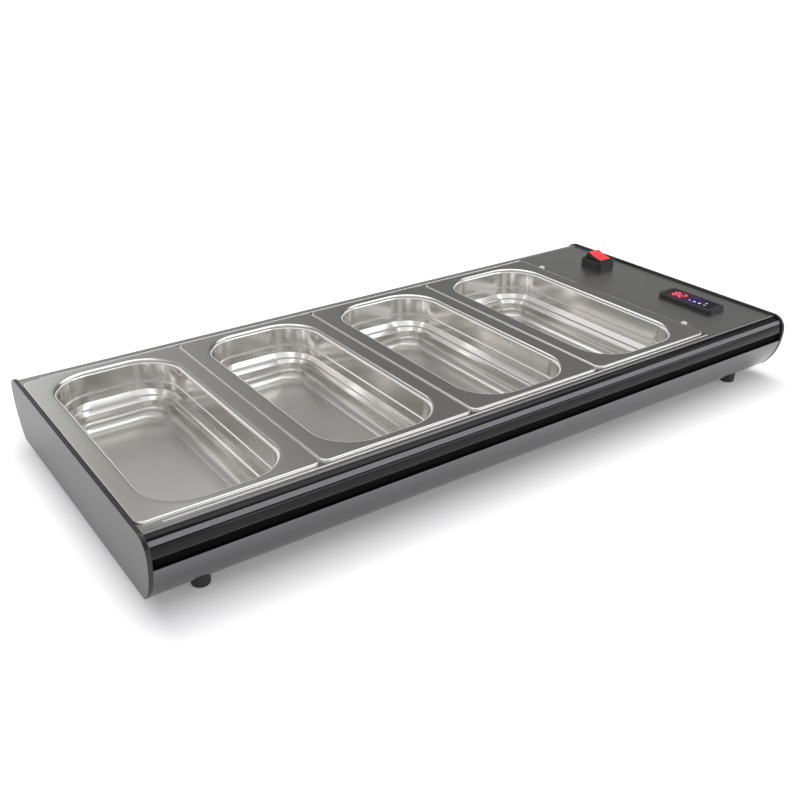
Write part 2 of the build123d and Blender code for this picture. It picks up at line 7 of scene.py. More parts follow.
import bmesh
import bpy
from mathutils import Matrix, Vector


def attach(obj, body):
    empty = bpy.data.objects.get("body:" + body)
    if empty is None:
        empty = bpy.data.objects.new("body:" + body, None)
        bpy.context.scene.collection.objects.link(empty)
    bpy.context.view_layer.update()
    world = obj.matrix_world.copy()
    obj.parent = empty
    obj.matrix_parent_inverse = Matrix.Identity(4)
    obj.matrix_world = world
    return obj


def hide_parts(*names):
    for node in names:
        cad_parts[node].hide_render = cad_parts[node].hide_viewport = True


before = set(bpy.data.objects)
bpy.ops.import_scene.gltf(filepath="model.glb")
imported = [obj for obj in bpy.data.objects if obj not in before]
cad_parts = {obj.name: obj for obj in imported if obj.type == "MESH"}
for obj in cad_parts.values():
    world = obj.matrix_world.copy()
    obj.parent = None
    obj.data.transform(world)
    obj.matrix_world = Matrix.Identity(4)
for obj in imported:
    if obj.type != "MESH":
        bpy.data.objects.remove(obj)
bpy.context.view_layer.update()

# A counter-top dry-heat bain marie: four gastronorm pans, a control bay at the right.
# Sizes in the classes are millimetres, in the CAD part's own frame; MM turns them to metres.
MM = 0.001
LOG = logging.getLogger("bain_marie")
PAN_CENTRES = (-321.7, -145.7, 30.3, 206.3)
WHITE = (1.0, 1.0, 1.0, 1.0)
QUAD = ((-1, -1), (1, -1), (1, 1), (-1, 1))

# Points nearer than this, in metres, are one.
WELD = 1e-7
EXTRUSION_WELD = 1e-6

# Degrees that one piece of an arc turns.
FINE_STEP = 3.0
MIDDLE_STEP = 5.0
CORNER_STEP = 6.0
COARSE_STEP = 8.0
SMALL_BEND_STEP = 15.0
TINY_BEND_STEP = 20.0
SHEET_CORNER_STEP = 30.0

# A finish's fine noise, and the parts of the noise's range that its roughness and its clouds follow.
FINE_NOISE = {"Scale": 1.0, "Detail": 4.0, "Roughness": 0.6}
GRAIN_SPAN = (0.25, 0.75)
CLOUD_SPAN = (0.3, 0.7)
CLOUD_DETAIL = 2.0
RIB_DETAIL = 1.0

# Edges that bend more than this, in degrees, stay sharp; large faces rule the shading by this weight.
SHARP_ANGLE = 50.0
FACE_WEIGHT = 80

Point = tuple[float, float]
Corner = tuple[float, float, float]
Tone = tuple[float, float, float, float]


def linear(code: str) -> Tone:
    """Turns an sRGB hex value into linear red, green, blue and alpha, by the standard's own curve.

    Args:
        code: A colour such as "#8a8c86".

    Returns:
        The four linear channels, with alpha 1.
    """
    parts = [int(code[i : i + 2], 16) / 255 for i in (1, 3, 5)]
    red, green, blue = (c / 12.92 if c <= 0.04045 else ((c + 0.055) / 1.055) ** 2.4 for c in parts)
    return red, green, blue, 1.0


def add(
    tree: bpy.types.NodeTree,
    kind: str,
    links: dict[Any, Any] | None = None,
    values: dict[Any, Any] | None = None,
    **settings: Any,
) -> bpy.types.Node:
    """Adds one node with its settings, its input values and its links.

    Args:
        tree: The tree that gets the node.
        kind: The node's type name.
        links: Input name or index to the output socket that feeds it.
        values: Input name or index to its fixed value.
        **settings: Attributes of the node itself.

    Returns:
        The new node.
    """
    made = tree.nodes.new(kind)
    for name, value in settings.items():
        setattr(made, name, value)
    for name, value in (values or {}).items():
        made.inputs[name].default_value = value
    for name, source in (links or {}).items():
        tree.links.new(source, made.inputs[name])
    return made


def fill_ramp(band: bpy.types.ColorRamp, stops: Sequence[tuple[float, Tone]]) -> None:
    """Sets the stops of a colour ramp.

    Args:
        band: The ramp, with its two first stops.
        stops: Each stop's place and linear colour, in rising order.
    """
    for element, stop in zip(band.elements, (stops[0], stops[-1])):
        element.position, element.color = stop
    for spot, colour in stops[1:-1]:
        band.elements.new(spot).color = colour


def empty_tree(owner: bpy.types.Material | bpy.types.World) -> bpy.types.NodeTree:
    """Gives a material or a world an empty node tree."""
    owner.use_nodes = True
    owner.node_tree.nodes.clear()
    return owner.node_tree


class Body(str, Enum):
    """The bodies of the moving part."""

    HOUSING = "housing"
    ROCKER = "rocker"


class Lay(Enum):
    """How a finish's grain runs: its stretch along X, Y and Z."""

    EVEN = (1.0, 1.0, 1.0)
    ALONG_X = (0.03, 1.0, 1.0)
    ALONG_Y = (1.0, 0.03, 1.0)


@dataclass(frozen=True)
class Finish:
    """A surface: what it is made of, how it was made and what shows close up."""

    name: str
    colour: str
    tint: str
    metallic: float = 0.0
    roughness: float = 0.5
    spread: float = 0.08
    grain_mm: float = 1.2
    lay: Lay = Lay.EVEN
    relief_mm: float = 0.01
    cloud_mm: float = 70.0
    cloud: float = 0.12
    coat: float = 0.0
    coat_roughness: float = 0.1
    ior: float = 1.5

    def grain(self, tree: bpy.types.NodeTree, place: bpy.types.Node) -> bpy.types.NodeSocket:
        """The fine pattern, from 0 to 1."""
        stretch = [s / (self.grain_mm * MM) for s in self.lay.value]
        grid = add(tree, "ShaderNodeMapping", {"Vector": place.outputs["Object"]}, {"Scale": stretch})
        return add(tree, "ShaderNodeTexNoise", {"Vector": grid.outputs[0]}, FINE_NOISE).outputs["Fac"]

    def hue(
        self, tree: bpy.types.NodeTree, place: bpy.types.Node, grain: bpy.types.NodeSocket
    ) -> bpy.types.NodeSocket:
        """The colour: the two tones mixed by the grain and by broad soft clouds."""
        broad = {"Scale": 1 / (self.cloud_mm * MM), "Detail": CLOUD_DETAIL}
        cloud = add(tree, "ShaderNodeTexNoise", {"Vector": place.outputs["Object"]}, broad)
        level = add(
            tree,
            "ShaderNodeMapRange",
            {"Value": cloud.outputs["Fac"]},
            {
                "From Min": CLOUD_SPAN[0],
                "From Max": CLOUD_SPAN[1],
                "To Min": -self.cloud,
                "To Max": self.cloud,
            },
        )
        share = add(
            tree, "ShaderNodeMath", {0: grain, 1: level.outputs[0]}, operation="ADD", use_clamp=True
        )
        mix = add(
            tree,
            "ShaderNodeMix",
            {"Factor": share.outputs[0]},
            {6: linear(self.colour), 7: linear(self.tint)},
            data_type="RGBA",
        )
        return mix.outputs[2]

    def material(self) -> bpy.types.Material:
        """Builds the finish, once, as a node material."""
        known = bpy.data.materials.get(self.name)
        if known:
            return known
        made = bpy.data.materials.new(self.name)
        tree = empty_tree(made)
        place = add(tree, "ShaderNodeTexCoord")
        grain = self.grain(tree, place)
        rough = add(
            tree,
            "ShaderNodeMapRange",
            {"Value": grain},
            {
                "From Min": GRAIN_SPAN[0],
                "From Max": GRAIN_SPAN[1],
                "To Min": self.roughness - self.spread,
                "To Max": self.roughness + self.spread,
            },
        )
        bump = add(
            tree, "ShaderNodeBump", {"Height": grain}, {"Strength": 1.0, "Distance": self.relief_mm * MM}
        )
        shader = add(
            tree,
            "ShaderNodeBsdfPrincipled",
            {
                "Base Color": self.hue(tree, place, grain),
                "Roughness": rough.outputs[0],
                "Normal": bump.outputs[0],
            },
            {
                "Metallic": self.metallic,
                "IOR": self.ior,
                "Coat Weight": self.coat,
                "Coat Roughness": self.coat_roughness,
            },
        )
        self.extra(tree, place, shader)
        add(tree, "ShaderNodeOutputMaterial", {"Surface": shader.outputs[0]})
        return made

    def extra(self, tree: bpy.types.NodeTree, place: bpy.types.Node, shader: bpy.types.Node) -> None:
        """Adds what only some finishes have."""


@dataclass(frozen=True)
class Glow(Finish):
    """A surface that glows from within: lit display bars and legends, and a painted glow on the rocker's top.
    """

    light: str = "#ff2a40"
    strength: float = 2.0

    def extra(self, tree: bpy.types.NodeTree, place: bpy.types.Node, shader: bpy.types.Node) -> None:
        """Lights the surface from within."""
        shader.inputs["Emission Color"].default_value = linear(self.light)
        shader.inputs["Emission Strength"].default_value = self.strength


@dataclass(frozen=True)
class SmokedLens(Finish):
    """A glossy smoked lens with a red-lit and a violet-lit zone behind it."""

    middle_y: float = -85.0
    half_length: float = 35.0
    strength: float = 0.55
    zones: tuple[tuple[float, str], ...] = (
        (0.0, "#12060c"),
        (0.2, "#7a1238"),
        (0.42, "#5c0e34"),
        (0.52, "#2c1470"),
        (0.7, "#221058"),
        (0.84, "#08060e"),
    )

    def extra(self, tree: bpy.types.NodeTree, place: bpy.types.Node, shader: bpy.types.Node) -> None:
        """Fades the two lit zones along the lens, from its rear end to its front."""
        split = add(tree, "ShaderNodeSeparateXYZ", {0: place.outputs["Object"]})
        ends = {
            "From Min": (self.middle_y + self.half_length) * MM,
            "From Max": (self.middle_y - self.half_length) * MM,
        }
        along = add(tree, "ShaderNodeMapRange", {"Value": split.outputs["Y"]}, ends)
        ramp = add(tree, "ShaderNodeValToRGB", {0: along.outputs[0]})
        fill_ramp(ramp.color_ramp, [(spot, linear(code)) for spot, code in self.zones])
        tree.links.new(ramp.outputs[0], shader.inputs["Emission Color"])
        shader.inputs["Emission Strength"].default_value = self.strength


@dataclass(frozen=True)
class DrawnSteel(Finish):
    """Drawn sheet whose walls are polished by the die and whose floor keeps its satin, its colour greyed a
    little there as painted shade.
    """

    # Painted shade: the floor's colour, a little greyer than the walls.
    floor: str = "#e0dedb"
    satin: float = 0.1
    satin_top_mm: float = 38.0
    satin_bottom_mm: float = 24.0

    def extra(self, tree: bpy.types.NodeTree, place: bpy.types.Node, shader: bpy.types.Node) -> None:
        """Roughens the surface towards the pan's floor, and greys its colour there a little as painted shade.
        """
        split = add(tree, "ShaderNodeSeparateXYZ", {0: place.outputs["Object"]})
        low = add(
            tree,
            "ShaderNodeMapRange",
            {"Value": split.outputs["Z"]},
            {"From Min": self.satin_top_mm * MM, "From Max": self.satin_bottom_mm * MM},
        )
        socket = shader.inputs["Roughness"]
        fine = socket.links[0].from_socket
        whole = add(
            tree, "ShaderNodeMath", {0: low.outputs[0], 2: fine}, {1: self.satin}, operation="MULTIPLY_ADD"
        )
        tree.links.new(whole.outputs[0], socket)
        # Painted shade: the colour greys towards the pan's floor.
        socket = shader.inputs["Base Color"]
        clear = socket.links[0].from_socket
        mix = add(
            tree,
            "ShaderNodeMix",
            {"Factor": low.outputs[0], 6: clear},
            {7: linear(self.floor)},
            data_type="RGBA",
        )
        tree.links.new(mix.outputs[2], socket)


@dataclass(frozen=True)
class FacetAndHighlightExtrusion(Finish):
    """A black extrusion with a lighter grey flat facet, and two edges painted grey as highlights."""

    # Grey of the facet, and of the highlights painted on the two edges.
    facet_and_highlight: str = "#9a9a9c"
    centre_y: float = 173.0
    centre_z: float = 65.0
    facet: tuple[float, float] = (33.0, 51.0)
    top_edge: float = 83.0
    bottom_edge_mm: float = 62.6

    def extra(self, tree: bpy.types.NodeTree, place: bpy.types.Node, shader: bpy.types.Node) -> None:
        """Lightens the facet and the two painted edge highlights, found by their turn about the corner's
        centre.
        """
        split = add(tree, "ShaderNodeSeparateXYZ", {0: place.outputs["Object"]})
        depth = add(tree, "ShaderNodeMath", {0: split.outputs["Y"]}, operation="ABSOLUTE")
        centre = {1: self.centre_y * MM}
        out = add(tree, "ShaderNodeMath", {0: depth.outputs[0]}, centre, operation="SUBTRACT")
        centre = {1: self.centre_z * MM}
        rise = add(tree, "ShaderNodeMath", {0: split.outputs["Z"]}, centre, operation="SUBTRACT")
        turn = add(tree, "ShaderNodeMath", {0: rise.outputs[0], 1: out.outputs[0]}, operation="ARCTAN2")
        low, high = (math.radians(v) for v in self.facet)
        strip = {1: (low + high) / 2, 2: (high - low) / 2}
        on_facet = add(tree, "ShaderNodeMath", {0: turn.outputs[0]}, strip, operation="COMPARE")
        # Painted highlights: the strips along the top edge and along the bottom edge.
        strip = {1: math.radians(self.top_edge)}
        on_top = add(tree, "ShaderNodeMath", {0: turn.outputs[0]}, strip, operation="GREATER_THAN")
        strip = {1: self.bottom_edge_mm * MM}
        on_bottom = add(tree, "ShaderNodeMath", {0: split.outputs["Z"]}, strip, operation="LESS_THAN")
        pair = {0: on_top.outputs[0], 1: on_bottom.outputs[0]}
        edges = add(tree, "ShaderNodeMath", pair, operation="MAXIMUM")
        pair = {0: on_facet.outputs[0], 1: edges.outputs[0]}
        share = add(tree, "ShaderNodeMath", pair, operation="MAXIMUM")
        socket = shader.inputs["Base Color"]
        black = socket.links[0].from_socket
        mix = add(
            tree,
            "ShaderNodeMix",
            {"Factor": share.outputs[0], 6: black},
            {7: linear(self.facet_and_highlight)},
            data_type="RGBA",
        )
        tree.links.new(mix.outputs[2], socket)


@dataclass(frozen=True)
class HeaterMat(Finish):
    """Silicone rubber moulded over a heating wire, whose runs show as low ribs."""

    rib_mm: float = 9.0
    waver: float = 0.4

    def grain(self, tree: bpy.types.NodeTree, place: bpy.types.Node) -> bpy.types.NodeSocket:
        """Ribs across the pad."""
        wave = {"Scale": 1 / (self.rib_mm * MM * 2), "Distortion": self.waver, "Detail": RIB_DETAIL}
        rib = add(tree, "ShaderNodeTexWave", {"Vector": place.outputs["Object"]}, wave, bands_direction="Y")
        return rib.outputs["Fac"]


# Deep-drawn stainless steel: walls polished by the draw and a satin floor greyed a little by painted shade,
# slightly warm.
PAN_STEEL = DrawnSteel(
    "deep_drawn_stainless_steel", "#e6e4e2", "#e2e0de",
    metallic=1.0, roughness=0.16, spread=0.004, grain_mm=0.7, relief_mm=0.00001, cloud=0.15,
)
# Fine brushed stainless sheet: an even grey sheen, brushed along the counter.
SHEET_STEEL = Finish(
    "brushed_stainless_sheet", "#cbcac8", "#c6c5c3",
    metallic=1.0, roughness=0.22, spread=0.004, grain_mm=0.9, lay=Lay.ALONG_X, relief_mm=0.00001,
)
# Polished stainless deck, a tone greyer than the pans as painted shade: the soft strips between and before
# them.
BRIGHT_SHEET = Finish(
    "polished_stainless_sheet", "#bcbbb8", "#b8b6b3",
    metallic=1.0, roughness=0.16, spread=0.004, grain_mm=1.2, lay=Lay.ALONG_X, relief_mm=0.00001,
)
# Black anodised aluminium extrusion: a dark gloss with a grey facet, and light lines painted as highlights
# along its two edges.
NOSING_BLACK = FacetAndHighlightExtrusion(
    "black_anodised_extrusion", "#040404", "#070708",
    roughness=0.1, spread=0.02, grain_mm=1.0, lay=Lay.ALONG_X, relief_mm=0.0002, ior=1.36,
)
# Rolled steel in graphite metallic enamel: a soft grey that lightens along its curve.
PANEL_GREY = Finish(
    "graphite_metallic_enamel", "#6a6a6b", "#737374",
    metallic=1.0, roughness=0.24, spread=0.03, grain_mm=0.8, relief_mm=0.0006, coat=0.25,
)
# Steel in semi-gloss black powder coat: a dark grey sheen with faint orange peel.
CHEEK_BLACK = Finish(
    "black_powder_coat", "#19191b", "#212123",
    roughness=0.30, spread=0.03, grain_mm=1.8, relief_mm=0.002, coat=0.08, coat_roughness=0.25,
)
# Nitrile rubber seal: the deep black line under the nosing.
SEAL_RUBBER = Finish(
    "black_rubber_seal", "#020202", "#050505",
    roughness=0.9, spread=0.05, grain_mm=0.9, lay=Lay.ALONG_X, relief_mm=0.004, ior=1.25,
)
# Moulded rubber: a matt, slightly dusty dark grey.
FOOT_RUBBER = Finish(
    "moulded_rubber", "#343434", "#404040",
    roughness=0.7, spread=0.1, grain_mm=0.8, relief_mm=0.02,
)
# Black polyamide moulding: a fine spark-eroded texture that dulls its shine.
BLACK_NYLON = Finish(
    "textured_black_polyamide", "#151515", "#222223",
    roughness=0.42, spread=0.06, grain_mm=0.6, relief_mm=0.01,
)
# Red polycarbonate of the rocker's top: a soft red with a painted glow, as if lit from within.
RED_ROCKER = Glow(
    "red_polycarbonate", "#f2303c", "#fb4450",
    roughness=0.25, spread=0.03, grain_mm=1.2, relief_mm=0.001, light="#ff4a56", strength=0.3,
)
# Nickel-plated steel: a soft bright glint on the cover's screws.
BRIGHT_NICKEL = Finish(
    "nickel_plated_steel", "#f6f4f0", "#eceae6",
    metallic=1.0, roughness=0.42, spread=0.04, grain_mm=0.5, relief_mm=0.001,
)
# Zinc-plated fasteners: dull bluish steel with a faint yellow passivation.
ZINC = Finish(
    "zinc_plated_steel", "#b8b6a6", "#a2a3a0",
    metallic=1.0, roughness=0.38, spread=0.08, grain_mm=0.7, relief_mm=0.004,
)
# Galvanised sheet: a cool grey with a broad spangle.
GALVANISED = Finish(
    "galvanised_sheet", "#9da1a3", "#b4b8ba",
    metallic=1.0, roughness=0.42, spread=0.08, grain_mm=6.0, relief_mm=0.002, cloud_mm=25.0, cloud=0.3,
)
# Mill-finish aluminium: pale grey with rolling lines.
MILL_ALUMINIUM = Finish(
    "mill_aluminium", "#c6c8ca", "#b4b6b8",
    metallic=1.0, roughness=0.36, spread=0.06, grain_mm=0.9, lay=Lay.ALONG_X, relief_mm=0.003,
)
# Machined brass: a warm yellow with bright tool marks.
BRASS = Finish(
    "machined_brass", "#c9a55c", "#b8924a",
    metallic=1.0, roughness=0.28, spread=0.06, grain_mm=0.4, relief_mm=0.002,
)
# Silicone heating mat: red-brown rubber with the wire's ribs.
SILICONE = HeaterMat(
    "silicone_heating_mat", "#8a3a22", "#a24a2c",
    roughness=0.6, spread=0.06, grain_mm=1.0, relief_mm=0.4,
)
# Compressed mineral wool: a pale fibrous board.
MINERAL = Finish(
    "mineral_wool_board", "#cfc7ad", "#e2dcc6",
    roughness=0.9, spread=0.05, grain_mm=1.5, lay=Lay.ALONG_X, relief_mm=0.2,
)
# Solder mask: a glossy green over the board.
SOLDER_MASK = Finish(
    "solder_mask", "#124a28", "#1a5c34",
    roughness=0.35, spread=0.05, grain_mm=0.8, lay=Lay.ALONG_Y, relief_mm=0.02, coat=0.4,
)
# Ivory polyamide: creamy, half-matt terminal housings.
IVORY_NYLON = Finish(
    "ivory_polyamide", "#d8d3c2", "#e2decf",
    roughness=0.45, spread=0.05, grain_mm=0.7, relief_mm=0.01,
)
# Smoked acrylic: near black and glossy, with the lit zones dim behind it.
LENS = SmokedLens(
    "smoked_acrylic", "#0c090f", "#100c14",
    roughness=0.08, spread=0.02, grain_mm=1.5, relief_mm=0.0005,
)
# Red display segments: bright pinkish red bars.
RED_DIGIT = Glow(
    "red_display_segment", "#ff5a74", "#ff6a80",
    roughness=0.4, spread=0.05, grain_mm=0.5, light="#ff6078", strength=0.9,
)
# White legends: small cool white marks, lit from below.
WHITE_MARK = Glow(
    "white_lit_legend", "#e6e0f4", "#f4f0ff",
    roughness=0.4, spread=0.05, grain_mm=0.5, light="#e8e0ff", strength=0.7,
)


def rounded(path: Sequence[Corner], closed: bool = False, step: float = 11.0) -> list[Point]:
    """Rounds the corners of a flat line.

    Args:
        path: The line's points, each with the radius of its corner, 0 for a sharp one.
        closed: Whether the last point joins the first.
        step: The most degrees that one piece of an arc turns.

    Returns:
        The points of the rounded line.
    """
    count = len(path)
    made: list[Point] = []
    for i, (x, y, radius) in enumerate(path):
        end = not closed and i in (0, count - 1)
        if end or radius == 0:
            made.append((x, y))
            continue
        here = Vector((x, y))
        back = (Vector(path[i - 1][:2]) - here).normalized()
        onward = (Vector(path[(i + 1) % count][:2]) - here).normalized()
        half = back.angle(onward) / 2
        centre = here + (back + onward).normalized() * (radius / math.sin(half))
        first = here + back * (radius / math.tan(half)) - centre
        last = here + onward * (radius / math.tan(half)) - centre
        start = math.atan2(first.y, first.x)
        sweep = (math.atan2(last.y, last.x) - start + math.pi) % math.tau - math.pi
        pieces = max(2, math.ceil(abs(math.degrees(sweep)) / step))
        for k in range(pieces + 1):
            turn = start + sweep * k / pieces
            made.append((centre.x + radius * math.cos(turn), centre.y + radius * math.sin(turn)))
    return made


def arc(centre: Point, radius: float, start: float, end: float, step: float = 4.0) -> list[Corner]:
    """Points along an arc, as sharp corners of a line, with its angles in degrees."""
    pieces = max(1, math.ceil(abs(end - start) / step))
    turns = [math.radians(start + (end - start) * k / pieces) for k in range(pieces + 1)]
    return [(centre[0] + radius * math.cos(t), centre[1] + radius * math.sin(t), 0.0) for t in turns]


@dataclass(frozen=True)
class Ring:
    """A level rounded rectangle, one station of a loft."""

    width: float
    length: float
    corner: float
    z: float

    def points(self, steps: int = 8) -> list[Vector]:
        """The ring's points, each corner in a number of steps."""
        reach_x = self.width / 2 - self.corner
        reach_y = self.length / 2 - self.corner
        made = []
        for quarter, (side_x, side_y) in enumerate(((1, 1), (-1, 1), (-1, -1), (1, -1))):
            for k in range(steps + 1):
                turn = math.radians(90 * (quarter + k / steps))
                x = side_x * reach_x + self.corner * math.cos(turn)
                y = side_y * reach_y + self.corner * math.sin(turn)
                made.append(Vector((x, y, self.z)))
        return made


def offset_rings(
    width: float,
    length: float,
    corner: float,
    path: Iterable[Point],
    tighten: tuple[float, float, float] = (0.0, 0.0, 0.0),
) -> list[Ring]:
    """Rings that follow a section: each point is an outward offset and a height.

    Args:
        width: The outline's width that the offsets start from.
        length: Its length.
        corner: Its corner radius.
        path: The section.
        tighten: Two inward offsets, between which the corner grows tighter, and by how much.

    Returns:
        The rings in the path's order.
    """
    start, end, much = tighten
    made = []
    for x, z in path:
        share = min(1.0, max(0.0, (-x - start) / (end - start))) if much else 0.0
        made.append(Ring(width + 2 * x, length + 2 * x, corner + x - much * share, z))
    return made


def loft(name: str, stations: Sequence[Sequence[Vector]], at: Corner = (0, 0, 0)) -> bpy.types.Mesh:
    """Skins a row of point loops into one closed shell with flat ends.

    Args:
        name: The mesh's name.
        stations: Loops with the same number of points, in millimetres.
        at: Where the shell's own origin goes, in millimetres.

    Returns:
        The mesh, in metres, smooth all over.
    """
    shift = Vector(at)
    form = bmesh.new()
    loops = [[form.verts.new((p + shift) * MM) for p in loop] for loop in stations]
    for low, high in zip(loops, loops[1:]):
        for i in range(len(low)):
            j = (i + 1) % len(low)
            form.faces.new((low[i], low[j], high[j], high[i]))
    form.faces.new(loops[0])
    form.faces.new(loops[-1])
    bmesh.ops.remove_doubles(form, verts=form.verts, dist=WELD)
    bmesh.ops.dissolve_degenerate(form, dist=WELD, edges=form.edges)
    bmesh.ops.recalc_face_normals(form, faces=form.faces)
    for face in form.faces:
        face.smooth = True
    mesh = bpy.data.meshes.new(name)
    form.to_mesh(mesh)
    form.free()
    return mesh


def loops_mesh(name: str, loops: Iterable[Sequence[Point]]) -> bpy.types.Mesh:
    """Closed wire loops in the XY plane, in metres, for an extrusion tree."""
    points: list[Corner] = []
    edges: list[tuple[int, int]] = []
    for loop in loops:
        base = len(points)
        points += [(x * MM, y * MM, 0.0) for x, y in loop]
        edges += [(base + i, base + (i + 1) % len(loop)) for i in range(len(loop))]
    mesh = bpy.data.meshes.new(name)
    mesh.from_pydata(points, edges, [])
    return mesh


def placed(name: str, mesh: bpy.types.Mesh) -> bpy.types.Object:
    """Puts a mesh in the scene as an object at the origin."""
    made = bpy.data.objects.new(name, mesh)
    bpy.context.scene.collection.objects.link(made)
    return made


def freeze(obj: bpy.types.Object) -> bpy.types.Object:
    """Turns an object's modifiers into its plain mesh."""
    graph = bpy.context.evaluated_depsgraph_get()
    graph.update()
    whole = obj.evaluated_get(graph)
    mesh = bpy.data.meshes.new_from_object(whole, preserve_all_data_layers=True, depsgraph=graph)
    obj.modifiers.clear()
    obj.data = mesh
    mesh.name = obj.name
    return obj


def polish(obj: bpy.types.Object, edge_mm: float, angle: float = 28.0, pieces: int = 3) -> bpy.types.Object:
    """Rounds an object's edges and keeps its flats flat in the light.

    Args:
        obj: The object, with any modifiers so far.
        edge_mm: The edge radius, or 0 to leave the edges.
        angle: The least bend, in degrees, that counts as an edge.
        pieces: How many faces each rounded edge gets.

    Returns:
        The same object, with a plain mesh.
    """
    if edge_mm:
        bevel = obj.modifiers.new("edge", "BEVEL")
        bevel.width = edge_mm * MM
        bevel.segments = pieces
        bevel.limit_method = "ANGLE"
        bevel.angle_limit = math.radians(angle)
        bevel.miter_outer = "MITER_ARC"
    freeze(obj)
    obj.data.shade_smooth()
    obj.data.set_sharp_from_angle(angle=math.radians(SHARP_ANGLE))
    weigh = obj.modifiers.new("weigh", "WEIGHTED_NORMAL")
    weigh.keep_sharp = True
    weigh.weight = FACE_WEIGHT
    return freeze(obj)


class GrowthTree:
    """A Geometry Nodes tree with named inputs, built in the script."""

    def __init__(self, name: str, inputs: dict[str, str]) -> None:
        """Starts the tree.

        Args:
            name: The tree's name.
            inputs: Input name to socket type, after the geometry.
        """
        self.tree = bpy.data.node_groups.new(name, "GeometryNodeTree")
        face = self.tree.interface
        face.new_socket("Geometry", in_out="INPUT", socket_type="NodeSocketGeometry")
        for label, kind in inputs.items():
            face.new_socket(label, in_out="INPUT", socket_type=kind)
        face.new_socket("Geometry", in_out="OUTPUT", socket_type="NodeSocketGeometry")
        self.source = self.tree.nodes.new("NodeGroupInput")

    def end(self, result: bpy.types.NodeSocket) -> None:
        """Makes the copies real, gives them the material and closes the tree."""
        real = add(self.tree, "GeometryNodeRealizeInstances", {0: result})
        dressed = add(
            self.tree,
            "GeometryNodeSetMaterial",
            {"Geometry": real.outputs[0], "Material": self.source.outputs["Material"]},
        )
        add(self.tree, "NodeGroupOutput", {0: dressed.outputs[0]})

    def apply(self, obj: bpy.types.Object, **values: Any) -> bpy.types.Object:
        """Puts the tree on an object, with each input set by its identifier."""
        modifier = obj.modifiers.new(self.tree.name, "NODES")
        modifier.node_group = self.tree
        for item in self.tree.interface.items_tree:
            if item.in_out == "INPUT" and item.name in values:
                modifier[item.identifier] = values[item.name]
        return obj


def extrusion_tree() -> GrowthTree:
    """A tree that fills flat wire loops, turns them into place and draws them out along a run."""
    made = GrowthTree(
        "extrusion",
        {
            "Turn": "NodeSocketRotation",
            "Start": "NodeSocketVector",
            "Run": "NodeSocketVector",
            "Material": "NodeSocketMaterial",
        },
    )
    tree, source = made.tree, made.source
    line = add(tree, "GeometryNodeMeshToCurve", {0: source.outputs["Geometry"]})
    sheet = add(tree, "GeometryNodeFillCurve", {0: line.outputs[0]}, mode="NGONS")
    at = add(
        tree,
        "GeometryNodeTransform",
        {
            "Geometry": sheet.outputs[0],
            "Translation": source.outputs["Start"],
            "Rotation": source.outputs["Turn"],
        },
    )
    drawn = add(
        tree,
        "GeometryNodeExtrudeMesh",
        {"Mesh": at.outputs[0], "Offset": source.outputs["Run"]},
        {"Offset Scale": 1.0, "Individual": False},
        mode="FACES",
    )
    back = add(tree, "GeometryNodeFlipFaces", {0: at.outputs[0]})
    whole = add(tree, "GeometryNodeJoinGeometry")
    tree.links.new(drawn.outputs[0], whole.inputs[0])
    tree.links.new(back.outputs[0], whole.inputs[0])
    merged = add(tree, "GeometryNodeMergeByDistance", {0: whole.outputs[0]}, {"Distance": EXTRUSION_WELD})
    made.end(merged.outputs[0])
    return made


def copies_tree() -> GrowthTree:
    """A tree that puts a copy of one piece on each point."""
    made = GrowthTree("copies", {"Piece": "NodeSocketObject", "Material": "NodeSocketMaterial"})
    tree, source = made.tree, made.source
    piece = add(tree, "GeometryNodeObjectInfo", {"Object": source.outputs["Piece"]})
    row = add(
        tree,
        "GeometryNodeInstanceOnPoints",
        {"Points": source.outputs["Geometry"], "Instance": piece.outputs["Geometry"]},
    )
    made.end(row.outputs[0])
    return made


class Workshop:
    """Holds the two trees and hands finished pieces to the frame."""

    def __init__(self) -> None:
        """Builds the trees once."""
        self.extrusion = extrusion_tree()
        self.copies = copies_tree()

    def hand_over(
        self,
        obj: bpy.types.Object,
        finish: Finish,
        nodes: Sequence[str],
        body: str = Body.HOUSING.value,
    ) -> None:
        """Gives a piece its finish, its body and the CAD nodes that it stands for."""
        obj.data.materials.clear()
        obj.data.materials.append(finish.material())
        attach(obj, body)
        if nodes:
            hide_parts(*nodes)
        LOG.info("%s: %d faces, rides %s", obj.name, len(obj.data.polygons), body)

    def along_x(
        self, name: str, loops: Sequence[Sequence[Point]], start: float, end: float
    ) -> bpy.types.Object:
        """Draws a Y, Z section out along X, from start to end in millimetres."""
        obj = placed(name, loops_mesh(name, loops))
        return self.extrusion.apply(
            obj,
            Turn=(math.pi / 2, 0, math.pi / 2),
            Start=(start * MM, 0, 0),
            Run=((end - start) * MM, 0, 0),
        )

    def upward(self, name: str, loops: Sequence[Sequence[Point]], low: float, high: float) -> bpy.types.Object:
        """Draws an X, Y outline up from one height to another, in millimetres."""
        obj = placed(name, loops_mesh(name, loops))
        return self.extrusion.apply(
            obj, Turn=(0, 0, 0), Start=(0, 0, low * MM), Run=(0, 0, (high - low) * MM)
        )

    def on_points(self, name: str, mesh: bpy.types.Mesh, spots: Sequence[Corner]) -> bpy.types.Object:
        """Puts copies of a mesh on points, given in millimetres, and makes them one plain mesh."""
        piece = placed(name + "_one", mesh)
        points = bpy.data.meshes.new(name)
        points.from_pydata([tuple(c * MM for c in spot) for spot in spots], [], [])
        obj = placed(name, points)
        self.copies.apply(obj, Piece=piece)
        freeze(obj)
        bpy.data.objects.remove(piece)
        return obj


def mirrored(loop: Sequence[Point]) -> list[Point]:
    """The same loop on the front side, its turn kept."""
    return [(-y, z) for y, z in reversed(loop)]


